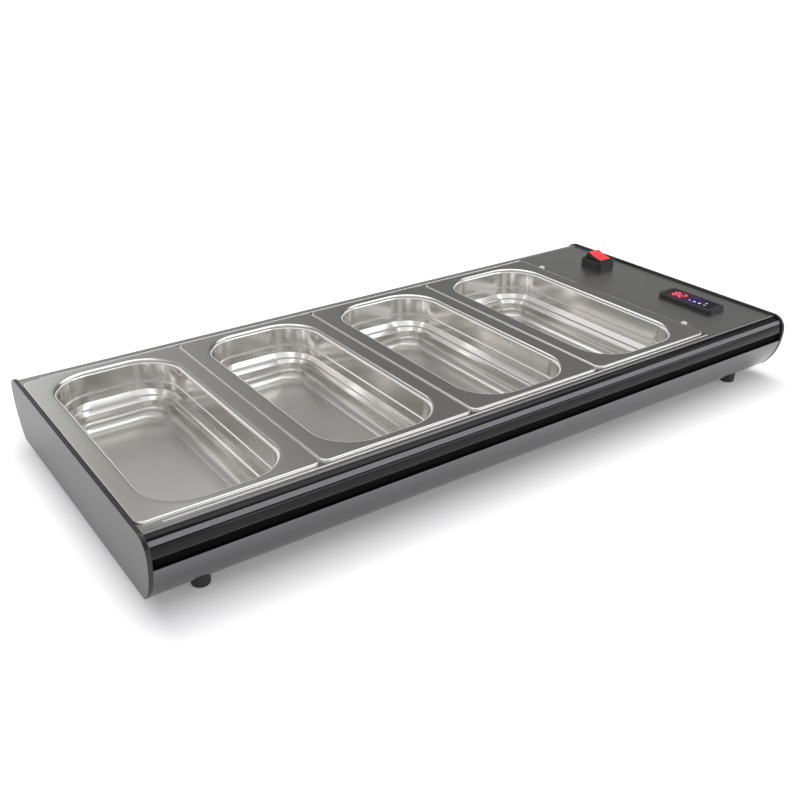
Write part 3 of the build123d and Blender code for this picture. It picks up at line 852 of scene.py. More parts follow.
@dataclass
class BodyShell:
    """Cheeks, nosings and lower panels: the body's closed outline."""

    top: float = 82.0
    bottom: float = 13.0
    half_depth: float = 190.0
    corner: float = 17.0
    side: float = 68.5
    belly: float = 62.0
    toe: float = 3.0
    half_inner: float = 409.7
    cheek: float = 4.3
    reveal: float = 2.0
    panel_reveal: float = 0.4
    wall: float = 2.0
    lip_y: float = 171.3
    nosing_bottom: float = 61.5
    nose: float = 1.9
    lip_bend: float = 0.4
    leg_bend: float = 0.3
    shelf_bend: float = 0.2
    hem: float = 0.7
    hem_bend: float = 0.6
    hem_width: float = 1.3
    hem_y: float = 166.2
    hem_left: float = -389.0
    hem_right: float = 294.0
    shelf: float = 10.0
    deck_under: float = 78.5
    leg_front: float = 183.0
    leg_back: float = 181.0
    leg_bottom: float = 49.0
    facet: Point = (32.0, 52.0)
    upper_groove: float = 70.5
    groove_width: float = 1.5
    groove_depth: float = 0.9
    upper_depth: float = 0.405
    panel_top: float = 52.0
    panel: float = 1.2
    panel_return: float = 22.6
    panel_bends: Point = (0.7, 0.8)
    toe_turn: float = 4.0
    edge: float = 0.4

    def cheek_loop(self) -> list[Point]:
        """The cheek's outline, from the middle of its flat bottom round to it again."""
        centre_y = self.half_depth - self.corner
        side_y = self.half_depth - self.side
        turn = math.degrees(math.asin((self.belly - self.bottom) / self.side))
        toe_y = side_y + self.side * math.cos(math.radians(turn))
        half = [(toe_y, self.bottom, self.toe)]
        half += arc((side_y, self.belly), self.side, self.toe_turn - turn, 0)
        half += arc((centre_y, self.top - self.corner), self.corner, 0, 90, CORNER_STEP)
        other = [(-y, z, r) for y, z, r in reversed(half)]
        return rounded(half + other, closed=True)

    def nosing_loops(self) -> list[list[Point]]:
        """The rear nosing's outer outline and its hollow."""
        face = self.half_depth - self.reveal
        deck = self.top - self.reveal
        centre = (self.half_depth - self.corner, self.top - self.corner)
        radius = self.corner - self.reveal
        low, high = self.facet
        half_groove = math.degrees(self.groove_width / 2 / radius)
        skin = [(self.lip_y, deck, self.lip_bend)]
        start = 90.0
        for foot, deep in ((self.upper_groove, self.upper_depth), (high, self.groove_depth)):
            skin += arc(centre, radius, start, foot + 2 * half_groove, MIDDLE_STEP)
            for turn in (2 * half_groove, 0.0):
                skin += arc(centre, radius - deep, foot + turn, foot + turn)[:1]
            start = foot
        skin += arc(centre, radius, high, high)[:1]
        skin += arc(centre, radius, low, 0, MIDDLE_STEP)
        skin += [
            (face, self.nosing_bottom, self.nose),
            (self.leg_front, self.nosing_bottom, 0.0),
            (self.leg_front, self.leg_bottom, self.leg_bend),
            (self.leg_back, self.leg_bottom, self.leg_bend),
            (self.leg_back, self.nosing_bottom, 0.0),
            (self.lip_y + self.wall, self.nosing_bottom, self.leg_bend),
            (self.lip_y + self.wall, self.deck_under - self.wall, 0.0),
            (self.lip_y - self.shelf, self.deck_under - self.wall, self.shelf_bend),
            (self.lip_y - self.shelf, self.deck_under, self.shelf_bend),
            (self.lip_y, self.deck_under, 0.0),
        ]
        hollow_y = self.lip_y + 2 * self.wall
        inner = radius - self.wall
        rise = math.degrees(math.acos((hollow_y - centre[0]) / inner))
        floor = self.nosing_bottom + self.wall
        hollow = [(hollow_y, floor, 0.0), (face - self.wall, floor, 0.0)]
        hollow += arc(centre, inner, 0, rise, COARSE_STEP)
        return [rounded(skin, closed=True), rounded(hollow, closed=True)]

    def hem_loop(self) -> list[Point]:
        """The section of the narrow fold that stands along the deck's rear edge."""
        deck = self.top - self.reveal
        near, far, high = self.hem_y, self.hem_y + self.hem_width, deck + self.hem
        bend = self.hem_bend
        section = [(near, deck, 0.0), (far, deck, 0.0), (far, high, bend), (near, high, bend)]
        return rounded(section, closed=True)

    def panel_loop(self) -> list[Point]:
        """The rear lower panel's section: hem, curve and return."""
        side_y = self.half_depth - self.side
        outer = self.side - self.panel_reveal
        inner = outer - self.panel
        foot = self.bottom + self.panel_reveal
        hem = self.panel_top - self.panel
        start = -math.degrees(math.asin((self.belly - self.panel_top) / outer))
        end = -math.degrees(math.asin((self.belly - foot) / outer))
        back = -math.degrees(math.asin((self.belly - foot - self.panel) / inner))
        front = -math.degrees(math.asin((self.belly - hem) / inner))
        toe_y = side_y + math.sqrt(outer**2 - (self.belly - foot) ** 2)
        curve = arc((side_y, self.belly), outer, start, end, FINE_STEP)
        curve[0] = (*curve[0][:2], self.panel_bends[0])
        curve[-1] = (*curve[-1][:2], self.panel_bends[1])
        path = [(self.leg_front, self.panel_top, 0.0), *curve]
        tail_y = toe_y - self.panel_return
        path += [(tail_y, foot, 0.0), (tail_y, foot + self.panel, 0.0)]
        path += arc((side_y, self.belly), inner, back, front, FINE_STEP)
        path += [(self.leg_front, hem, 0.0)]
        return rounded(path, closed=True)

    def build(self, shop: Workshop) -> None:
        """Makes the cheeks, the nosings, the lower panels and the deck's two folds."""
        outer = self.half_inner + self.cheek
        loop = self.cheek_loop()
        for side, start in (("left", -outer), ("right", self.half_inner)):
            cheek = shop.along_x(f"{side}_end_cheek", [loop], start, start + self.cheek)
            shop.hand_over(polish(cheek, self.edge), CHEEK_BLACK, [f"{side}_cheek"])
        rear = self.nosing_loops()
        panel = self.panel_loop()
        for side in ("rear", "front"):
            loops = rear if side == "rear" else [mirrored(loop) for loop in rear]
            nosing = shop.along_x(f"{side}_nosing_extrusion", loops, -self.half_inner, self.half_inner)
            shop.hand_over(polish(nosing, 0.0), NOSING_BLACK, [f"{side}_nosing"])
            wall = panel if side == "rear" else mirrored(panel)
            skirt = shop.along_x(f"{side}_curved_panel", [wall], -self.half_inner, self.half_inner)
            shop.hand_over(polish(skirt, 0.0), PANEL_GREY, [f"{side}_lower_panel"])
            fold = self.hem_loop() if side == "rear" else mirrored(self.hem_loop())
            hem = shop.along_x(f"{side}_deck_fold", [fold], self.hem_left, self.hem_right)
            shop.hand_over(polish(hem, 0.0), PAN_STEEL, [])


@dataclass
class GastronormPan:
    """A deep-drawn pan with a turned-down rim, a stacking shoulder and a wide floor bend."""

    number: int
    x: float
    top: float = 82.0
    width: float = 175.4
    length: float = 325.0
    corner: float = 9.0
    edge_drop: float = 2.0
    edge: float = 1.9
    sheet: float = 0.8
    mouth_width: float = 130.4
    mouth_length: float = 297.4
    mouth_corner: float = 43.2
    mouth: float = 5.3
    depth: float = 65.0
    crease: Point = (24.0, 25.4)
    crease_in: Point = (1.0, 2.0)
    crease_bend: float = 0.8
    shoulder: tuple[Point, ...] = ((2.5, 34.0), (5.6, 40.5), (7.0, 41.8), (9.6, 47.0))
    shoulder_bend: float = 1.6
    tighten: float = 7.0
    floor_in: float = 10.6
    floor_bend: float = 13.5
    rim_flat: float = 3.04
    flat_in: float = 25.0
    corner_steps: int = 16
    inner_step: float = 7.0
    outer_step: float = 9.0
    rim_step: float = 15.0

    def inside(self) -> list[Point]:
        """The inner face from the flat floor to the rim: outward offset and height."""
        floor = -(self.depth - self.sheet)
        return rounded(
            [
                (-self.flat_in, floor, 0.0),
                (-self.floor_in, floor, self.floor_bend),
                *((-x, -z, self.shoulder_bend) for x, z in reversed(self.shoulder)),
                (-self.crease_in[1], -self.crease[1], self.crease_bend),
                (-self.crease_in[0], -self.crease[0], self.crease_bend),
                (0.0, 0.0, self.mouth),
                (self.mouth * 2, 0.0, 0.0),
            ],
            step=self.inner_step,
        )

    def outside(self) -> list[Point]:
        """The outer face from below the rim to the flat floor."""
        t = self.sheet
        return rounded(
            [
                (self.mouth * 2, -t, 0.0),
                (t, -t, self.mouth - t),
                (t - self.crease_in[0], -self.crease[0] - t, self.crease_bend),
                (t - self.crease_in[1], -self.crease[1] - t, self.crease_bend),
                *((t - x, -z - t, self.shoulder_bend) for x, z in self.shoulder),
                (t - self.floor_in, -self.depth, self.floor_bend + t),
                (-self.flat_in, -self.depth, 0.0),
            ],
            step=self.outer_step,
        )

    def rim(self) -> list[Point]:
        """The rim from its flat over the turned-down edge and back below, offset from its outline."""
        t = self.sheet
        return rounded(
            [
                (-self.rim_flat, 0.0, 0.0),
                (0.0, 0.0, self.edge),
                (0.0, -self.edge_drop, 0.0),
                (-t, -self.edge_drop, 0.0),
                (-t, -t, self.edge - t),
                (-self.rim_flat, -t, 0.0),
            ],
            step=self.rim_step,
        )

    def build(self, shop: Workshop) -> None:
        """Makes the pan as one closed shell of sheet."""
        mouth = (self.mouth_width, self.mouth_length, self.mouth_corner)
        first, last = self.shoulder[0][0], self.shoulder[-1][0]
        rings = offset_rings(*mouth, self.inside(), (first, last, self.tighten))
        rings += offset_rings(self.width, self.length, self.corner, self.rim())
        rings += offset_rings(*mouth, self.outside(), (first - self.sheet, last - self.sheet, self.tighten))
        loops = [ring.points(self.corner_steps) for ring in rings]
        name = f"gastronorm_pan_{self.number}"
        pan = placed(name, loft(name, loops, (self.x, 0, self.top)))
        body = f"pan_{self.number}"
        shop.hand_over(pan, PAN_STEEL, [body], body)


def round_loop(radius: float, z: float, steps: int = 8) -> list[Vector]:
    """A level circle with the same number of points as a ring."""
    return Ring(2 * radius, 2 * radius, radius, z).points(steps)


def hex_loop(reach: float, z: float, steps: int = 8) -> list[Vector]:
    """A level hexagon with the same number of points as a circle."""
    made = []
    for point in round_loop(1.0, z, steps):
        turn = math.atan2(point.y, point.x)
        fold = (turn + math.pi / 6) % (math.pi / 3) - math.pi / 6
        radius = reach * math.cos(math.pi / 6) / math.cos(fold)
        made.append(Vector((radius * math.cos(turn), radius * math.sin(turn), z)))
    return made


@dataclass(frozen=True)
class DomedScrew:
    """A domed screw with its seat at 0, its head above and a hex socket."""

    head: float = 3.8
    dome: float = 1.9
    length: float = 10.0
    shank: float = 2.0
    seat_bend: float = 0.25
    brow: float = 0.45
    crown: float = 0.62
    crown_bend: float = 1.2
    socket: float = 1.6
    socket_rim: float = 0.3
    socket_lip: float = 0.1
    socket_depth: float = 1.0
    socket_taper: float = 0.97

    def mesh(self) -> bpy.types.Mesh:
        """The screw as one closed shell, from its shank's end up and into the socket."""
        section = rounded(
            [
                (self.shank, 0.0, 0.0),
                (self.head, 0.0, self.seat_bend),
                (self.head, self.dome * self.brow, 0.0),
                (self.head * self.crown, self.dome, self.crown_bend),
                (self.socket + self.socket_rim, self.dome, 0.0),
            ]
        )
        loops = [round_loop(self.shank, -self.length), round_loop(self.shank, 0)]
        loops += [round_loop(r, z) for r, z in section[1:]]
        loops.append(hex_loop(self.socket, self.dome - self.socket_lip))
        loops.append(hex_loop(self.socket * self.socket_taper, self.dome - self.socket_depth))
        return loft("screw", loops)


@dataclass
class ControlBay:
    """The screwed cover, with openings for its rocker switch and controller."""

    left: float = 294.6
    right: float = 409.4
    half_depth: float = 170.3
    deck: float = 80.0
    sheet: float = 1.5
    screw_x: float = 300.0
    screw_y: float = 126.6
    screw: DomedScrew = DomedScrew()
    switch: Point = (371.6, 89.5)
    controller: Point = (362.3, -85.0)
    switch_window: Point = (27.4, 34.4)
    controller_window: Point = (28.9, 70.9)
    corner: float = 1.0
    switch_corner: float = 3.0
    edge: float = 0.35

    def window(self, at: Point, size: Point, corner: float) -> list[Point]:
        """A rounded opening in the cover."""
        x, y = at
        half_x, half_y = size[0] / 2, size[1] / 2
        ends = ((-half_x, -half_y), (-half_x, half_y), (half_x, half_y), (half_x, -half_y))
        return rounded([(x + dx, y + dy, corner) for dx, dy in ends], closed=True)

    def cover(self, shop: Workshop) -> None:
        """The cover sheet, with openings for the switch and the controller."""
        edge = [
            (self.left, -self.half_depth, self.corner),
            (self.right, -self.half_depth, self.corner),
            (self.right, self.half_depth, self.corner),
            (self.left, self.half_depth, self.corner),
        ]
        loops = [
            rounded(edge, closed=True, step=SHEET_CORNER_STEP),
            self.window(self.switch, self.switch_window, self.switch_corner),
            self.window(self.controller, self.controller_window, self.corner),
        ]
        sheet = shop.upward("bay_cover_sheet", loops, self.deck - self.sheet, self.deck)
        shop.hand_over(polish(sheet, self.edge), SHEET_STEEL, ["control_cover"])

    def screws(self, shop: Workshop) -> None:
        """Two domed screws with hex sockets."""
        spots = [(self.screw_x, side * self.screw_y, self.deck) for side in (-1, 1)]
        made = shop.on_points("cover_domed_screws", self.screw.mesh(), spots)
        shop.hand_over(made, BRIGHT_NICKEL, ["cover_screws"])

    def build(self, shop: Workshop) -> None:
        """Makes the cover and its screws."""
        self.cover(shop)
        self.screws(shop)


@dataclass
class RubberFeet:
    """Four turned rubber feet, recessed below for their screws."""

    spots: tuple[Point, ...] = ((-359.0, -158.0), (359.0, -158.0), (-359.0, 158.0), (359.0, 158.0))
    height: float = 13.4
    top: float = 10.0
    base: float = 8.8
    bore: float = 5.2
    bore_depth: float = 7.0
    hole: float = 2.2
    gap: float = 0.05
    collar: float = 2.5
    collar_foot: float = 3.2
    collar_in: float = 0.6
    top_bend: float = 0.3
    collar_bend: float = 0.5
    base_bend: float = 1.2
    bore_bend: float = 0.4
    steps: int = 10

    def build(self, shop: Workshop) -> None:
        """Makes one foot and puts it on the four places."""
        section = rounded(
            [
                (self.hole, self.height - self.gap, 0),
                (self.top, self.height - self.gap, self.top_bend),
                (self.top, self.height - self.collar, self.collar_bend),
                (self.top - self.collar_in, self.height - self.collar_foot, self.collar_bend),
                (self.base, 0, self.base_bend),
                (self.bore, 0, self.bore_bend),
                (self.bore, self.bore_depth, self.top_bend),
                (self.hole, self.bore_depth, 0),
            ]
        )
        loops = [round_loop(r, z, self.steps) for r, z in section]
        spots = [(x, y, 0.0) for x, y in self.spots]
        feet = shop.on_points("rubber_feet", loft("foot", loops), spots)
        nodes = [f"foot_{a}_{b}" for a in ("front", "rear") for b in ("left", "right")]
        polish(feet, 0.0)
        shop.hand_over(feet, FOOT_RUBBER, nodes)


@dataclass
class RockerSwitch:
    """A raised black housing with a red rocker, its rear end up."""

    at: Point = (371.6, 89.5)
    deck: float = 80.0
    width: float = 31.0
    length: float = 38.0
    rise: float = 10.0
    corner: float = 5.0
    chamfer: float = 1.6
    shoulder_bend: float = 0.5
    brow_bend: float = 0.6
    brow: float = 0.8
    well_lip: float = 0.6
    well_bend: float = 0.4
    well_corner: float = 0.8
    ring_steps: int = 6
    stem_clear: float = 2.0
    stem_depth: float = 24.0
    rocker_width: float = 20.0
    rocker_face: float = 24.0
    rocker_rise: float = 9.0
    rocker_floor: float = 4.0
    dish: float = 0.7
    dish_steps: int = 12
    edge: float = 0.7
    edge_angle: float = 35.0
    edge_pieces: int = 4
    tilt: float = 16.0
    clear: float = 0.4
    pivot_below: float = 3.0
    red_share: float = 0.7

    def housing(self, shop: Workshop) -> None:
        """The housing as one shell: stem, bezel and well."""
        sweep = math.hypot(self.rocker_face / 2, self.rocker_rise)
        well_width = self.rocker_width + 2 * self.clear
        well_length = 2 * (sweep + self.clear)
        well_depth = sweep * math.sin(math.radians(2 * self.tilt)) + self.clear + self.pivot_below
        top = self.rise
        outer = [
            (-self.stem_clear, -self.stem_depth, 0.0),
            (-self.stem_clear, 0.0, 0.0),
            (0.0, 0.0, 0.0),
            (0.0, top - self.chamfer, self.shoulder_bend),
            (-self.chamfer, top, self.brow_bend),
            (-self.chamfer - self.brow, top, 0.0),
        ]
        rings = offset_rings(self.width, self.length, self.corner, rounded(outer, step=SMALL_BEND_STEP))
        inner = [(self.well_lip, top, 0.0), (0.0, top, self.well_bend), (0.0, top - well_depth, 0.0)]
        section = rounded(inner, step=TINY_BEND_STEP)
        rings += offset_rings(well_width, well_length, self.well_corner, section)
        loops = [ring.points(self.ring_steps) for ring in rings]
        shell = placed("switch_bezel", loft("switch_bezel", loops, (*self.at, self.deck)))
        polish(shell, 0.0)
        shop.hand_over(shell, BLACK_NYLON, ["switch_housing"])

    def rocker(self, shop: Workshop) -> None:
        """The rocker: a hollow-topped prism tilted as in the photograph, red above and black at the sides."""
        half = self.rocker_face / 2
        sweep = math.hypot(half, self.rocker_rise)
        depth = self.rocker_rise - self.dish
        path = []
        for k in range(self.dish_steps + 1):
            y = half - self.rocker_face * k / self.dish_steps
            path.append((y, depth + self.dish * (y / half) ** 2, 0.0))
        rim = math.degrees(math.atan2(self.rocker_rise, half))
        low = -math.degrees(math.asin(self.rocker_floor / sweep))
        path += arc((0, 0), sweep, 180 - rim, 180 - low, CORNER_STEP)[1:]
        path += arc((0, 0), sweep, low, rim, CORNER_STEP)[:-1]
        tilt = math.radians(self.tilt)
        pivot = (self.at[1], self.deck + self.rise - self.pivot_below)
        turned = [
            (
                pivot[0] + y * math.cos(tilt) - z * math.sin(tilt),
                pivot[1] + y * math.sin(tilt) + z * math.cos(tilt),
            )
            for y, z, _ in path
        ]
        start = self.at[0] - self.rocker_width / 2
        piece = shop.along_x("red_rocker_cap", [turned], start, start + self.rocker_width)
        polish(piece, self.edge, angle=self.edge_angle, pieces=self.edge_pieces)
        shop.hand_over(piece, RED_ROCKER, ["switch_rocker"], Body.ROCKER.value)
        piece.data.materials.append(BLACK_NYLON.material())
        up = Vector((0.0, -math.sin(tilt), math.cos(tilt)))
        for face in piece.data.polygons:
            face.material_index = 0 if face.normal.dot(up) > self.red_share else 1

    def build(self, shop: Workshop) -> None:
        """Makes the housing and the rocker."""
        self.housing(shop)
        self.rocker(shop)


class Segment(Enum):
    """Bars of a seven-segment digit: centre along and up, and whether it stands upright."""

    TOP = (0.0, 1.0, False)
    MIDDLE = (0.0, 0.0, False)
    BOTTOM = (0.0, -1.0, False)
    UPPER_LEFT = (-1.0, 0.5, True)
    UPPER_RIGHT = (1.0, 0.5, True)
    LOWER_LEFT = (-1.0, -0.5, True)
    LOWER_RIGHT = (1.0, -0.5, True)


@dataclass
class Controller:
    """The thermostat: case with a bezel, smoked lens, lit digits and touch legends."""

    at: Point = (362.3, -85.0)
    deck: float = 80.0
    width: float = 32.5
    length: float = 84.0
    rise: float = 5.0
    corner: float = 6.0
    edge: float = 1.6
    edge_flat: float = 1.2
    edge_step: float = 10.0
    ring_steps: int = 6
    case: Corner = (28.5, 70.5, 48.0)
    case_corner: float = 0.5
    seat_lip: float = 0.6
    seat_bend: float = 0.3
    lens_gap: float = 0.2
    lens_edge: float = 0.35
    lens_flat: float = 1.2
    lens: Point = (24.0, 71.0)
    lens_corner: float = 3.0
    lens_t: float = 1.2
    sink: float = 0.3
    digit_height: float = 12.0
    digit_width: float = 6.4
    bar: float = 1.8
    bar_gap: float = 0.3
    legend_t: float = 0.12
    digit_places: Point = (-24.0, -13.8)
    arrow: tuple[Point, ...] = ((-2.2, -1.5), (2.2, -1.5), (0.0, 2.2))
    arrows: tuple[Corner, ...] = ((8.5, -4.0, 1.0), (16.0, -4.0, -1.0))
    dashes: tuple[Corner, ...] = ((1.0, -4.5, 2.6), (22.0, 3.0, 3.0), (24.0, -4.0, 3.0))
    dash_half: float = 0.7

    def shell(self, shop: Workshop) -> None:
        """Case and bezel as one shell, with the lens's seat."""
        wide, long, deep = self.case
        seat = self.rise - self.sink - self.lens_t
        rings = [Ring(wide, long, self.case_corner, z) for z in (-deep, 0.0)]
        brow = self.edge + self.edge_flat
        outer = [(0.0, 0.0, 0.0), (0.0, self.rise, self.edge), (-brow, self.rise, 0.0)]
        rings += offset_rings(self.width, self.length, self.corner, rounded(outer, step=self.edge_step))
        inner = [(self.seat_lip, self.rise, 0.0), (0.0, self.rise, self.seat_bend), (0.0, seat, 0.0)]
        rings += offset_rings(*self.lens, self.lens_corner, rounded(inner, step=TINY_BEND_STEP))
        loops = [ring.points(self.ring_steps) for ring in rings]
        shell = placed("controller_case", loft("controller_case", loops, (*self.at, self.deck)))
        polish(shell, 0.0)
        shop.hand_over(shell, BLACK_NYLON, ["thermostat_case"])

    def window(self, shop: Workshop) -> None:
        """The lens, flush in its seat, with a softened edge."""
        low = self.rise - self.sink - self.lens_t
        high = low + self.lens_t
        gap = self.lens_gap
        path = [(-gap, low, 0.0), (-gap, high, self.lens_edge), (-self.lens_flat, high, 0.0)]
        rings = offset_rings(*self.lens, self.lens_corner, rounded(path, step=TINY_BEND_STEP))
        loops = [ring.points(self.ring_steps) for ring in rings]
        lens = placed("controller_lens", loft("controller_lens", loops, (*self.at, self.deck)))
        polish(lens, 0.0)
        shop.hand_over(lens, LENS, ["thermostat_lens"])

    def spot(self, along: float, up: float) -> Point:
        """Where a legend's place, read from the rear end to the front, lies in X and Y."""
        return self.at[0] + up, self.at[1] - along

    def digit(self, shown: Sequence[Segment], along: float) -> list[list[Point]]:
        """The bars of one digit, as flat loops in X and Y."""
        half_w, half_h = self.digit_width / 2, self.digit_height / 2
        loops = []
        for segment in shown:
            side, level, upright = segment.value
            reach = (half_h if upright else 2 * half_w) / 2 - self.bar * self.bar_gap
            tip = self.bar / 2
            inner = reach - tip
            bar = [(-reach, 0), (-inner, tip), (inner, tip), (reach, 0), (inner, -tip), (-inner, -tip)]
            loop = []
            for u, v in bar:
                if upright:
                    u, v = v, u
                loop.append(self.spot(along + side * half_w + u, level * half_h + v))
            loops.append(loop)
        return loops

    def legends(self, shop: Workshop) -> None:
        """Two red digits, and white touch legends: two arrows and three dashes."""
        top = self.deck + self.rise - self.sink
        s = Segment
        two = [s.TOP, s.UPPER_RIGHT, s.MIDDLE, s.LOWER_LEFT, s.BOTTOM]
        first, second = self.digit_places
        loops = self.digit(list(Segment), first) + self.digit(two, second)
        digits = shop.upward("controller_digits", loops, top, top + self.legend_t)
        shop.hand_over(freeze(digits), RED_DIGIT, [])
        marks = []
        for along, up, sense in self.arrows:
            marks.append([self.spot(along + u, up + sense * v) for u, v in self.arrow])
        for along, up, wide in self.dashes:
            u, v = wide / 2, self.dash_half
            marks.append([self.spot(along + a, up + b) for a, b in ((-u, -v), (u, -v), (u, v), (-u, v))])
        lit = shop.upward("controller_legends", marks, top, top + self.legend_t)
        shop.hand_over(freeze(lit), WHITE_MARK, [])

    def build(self, shop: Workshop) -> None:
        """Makes the case, the lens and what shows on it."""
        self.shell(shop)
        self.window(shop)
        self.legends(shop)


@dataclass
class CarriedNodes:
    """The CAD nodes that stay as they are, each with its finish."""

    finishes: dict[str, Finish] = field(
        default_factory=lambda: {
            "top_deck": BRIGHT_SHEET,
            "front_gap_strip": SEAL_RUBBER,
            "rear_gap_strip": SEAL_RUBBER,
            "partition_grommet": SEAL_RUBBER,
            "base_tray": GALVANISED,
            "well_liner": GALVANISED,
            "bay_partition": GALVANISED,
            "left_cheek_rail": GALVANISED,
            "right_cheek_rail": GALVANISED,
            "heat_spreader": MILL_ALUMINIUM,
            "left_corner_keys": MILL_ALUMINIUM,
            "right_corner_keys": MILL_ALUMINIUM,
            "temperature_probe": MILL_ALUMINIUM,
            "insulation_board": MINERAL,
            "heater_pad_1": SILICONE,
            "heater_pad_2": SILICONE,
            "heater_pad_3": SILICONE,
            "heater_pad_4": SILICONE,
            "cord_bushing": BLACK_NYLON,
            "safety_cutout": BLACK_NYLON,
            "thermostat_terminals": SOLDER_MASK,
            "thermostat_board": SOLDER_MASK,
            "thermostat_clips": IVORY_NYLON,
            "terminal_block": IVORY_NYLON,
            "thermostat_display": LENS,
            "switch_terminals": BRASS,
            "terminal_screws": BRASS,
            "earth_stud": BRASS,
        }
    )

    def build(self) -> None:
        """Dresses every CAD node that still shows."""
        for name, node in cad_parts.items():
            finish = self.finishes.get(name, ZINC)
            node.data.materials.clear()
            node.data.materials.append(finish.material())
        LOG.info("%d CAD nodes dressed", len(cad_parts))


@dataclass(frozen=True)
class SoftLamp:
    """A soft rectangular lamp: its place and size in metres, and how bright its face is."""

    name: str
    at: Corner
    size: Point
    radiance: float


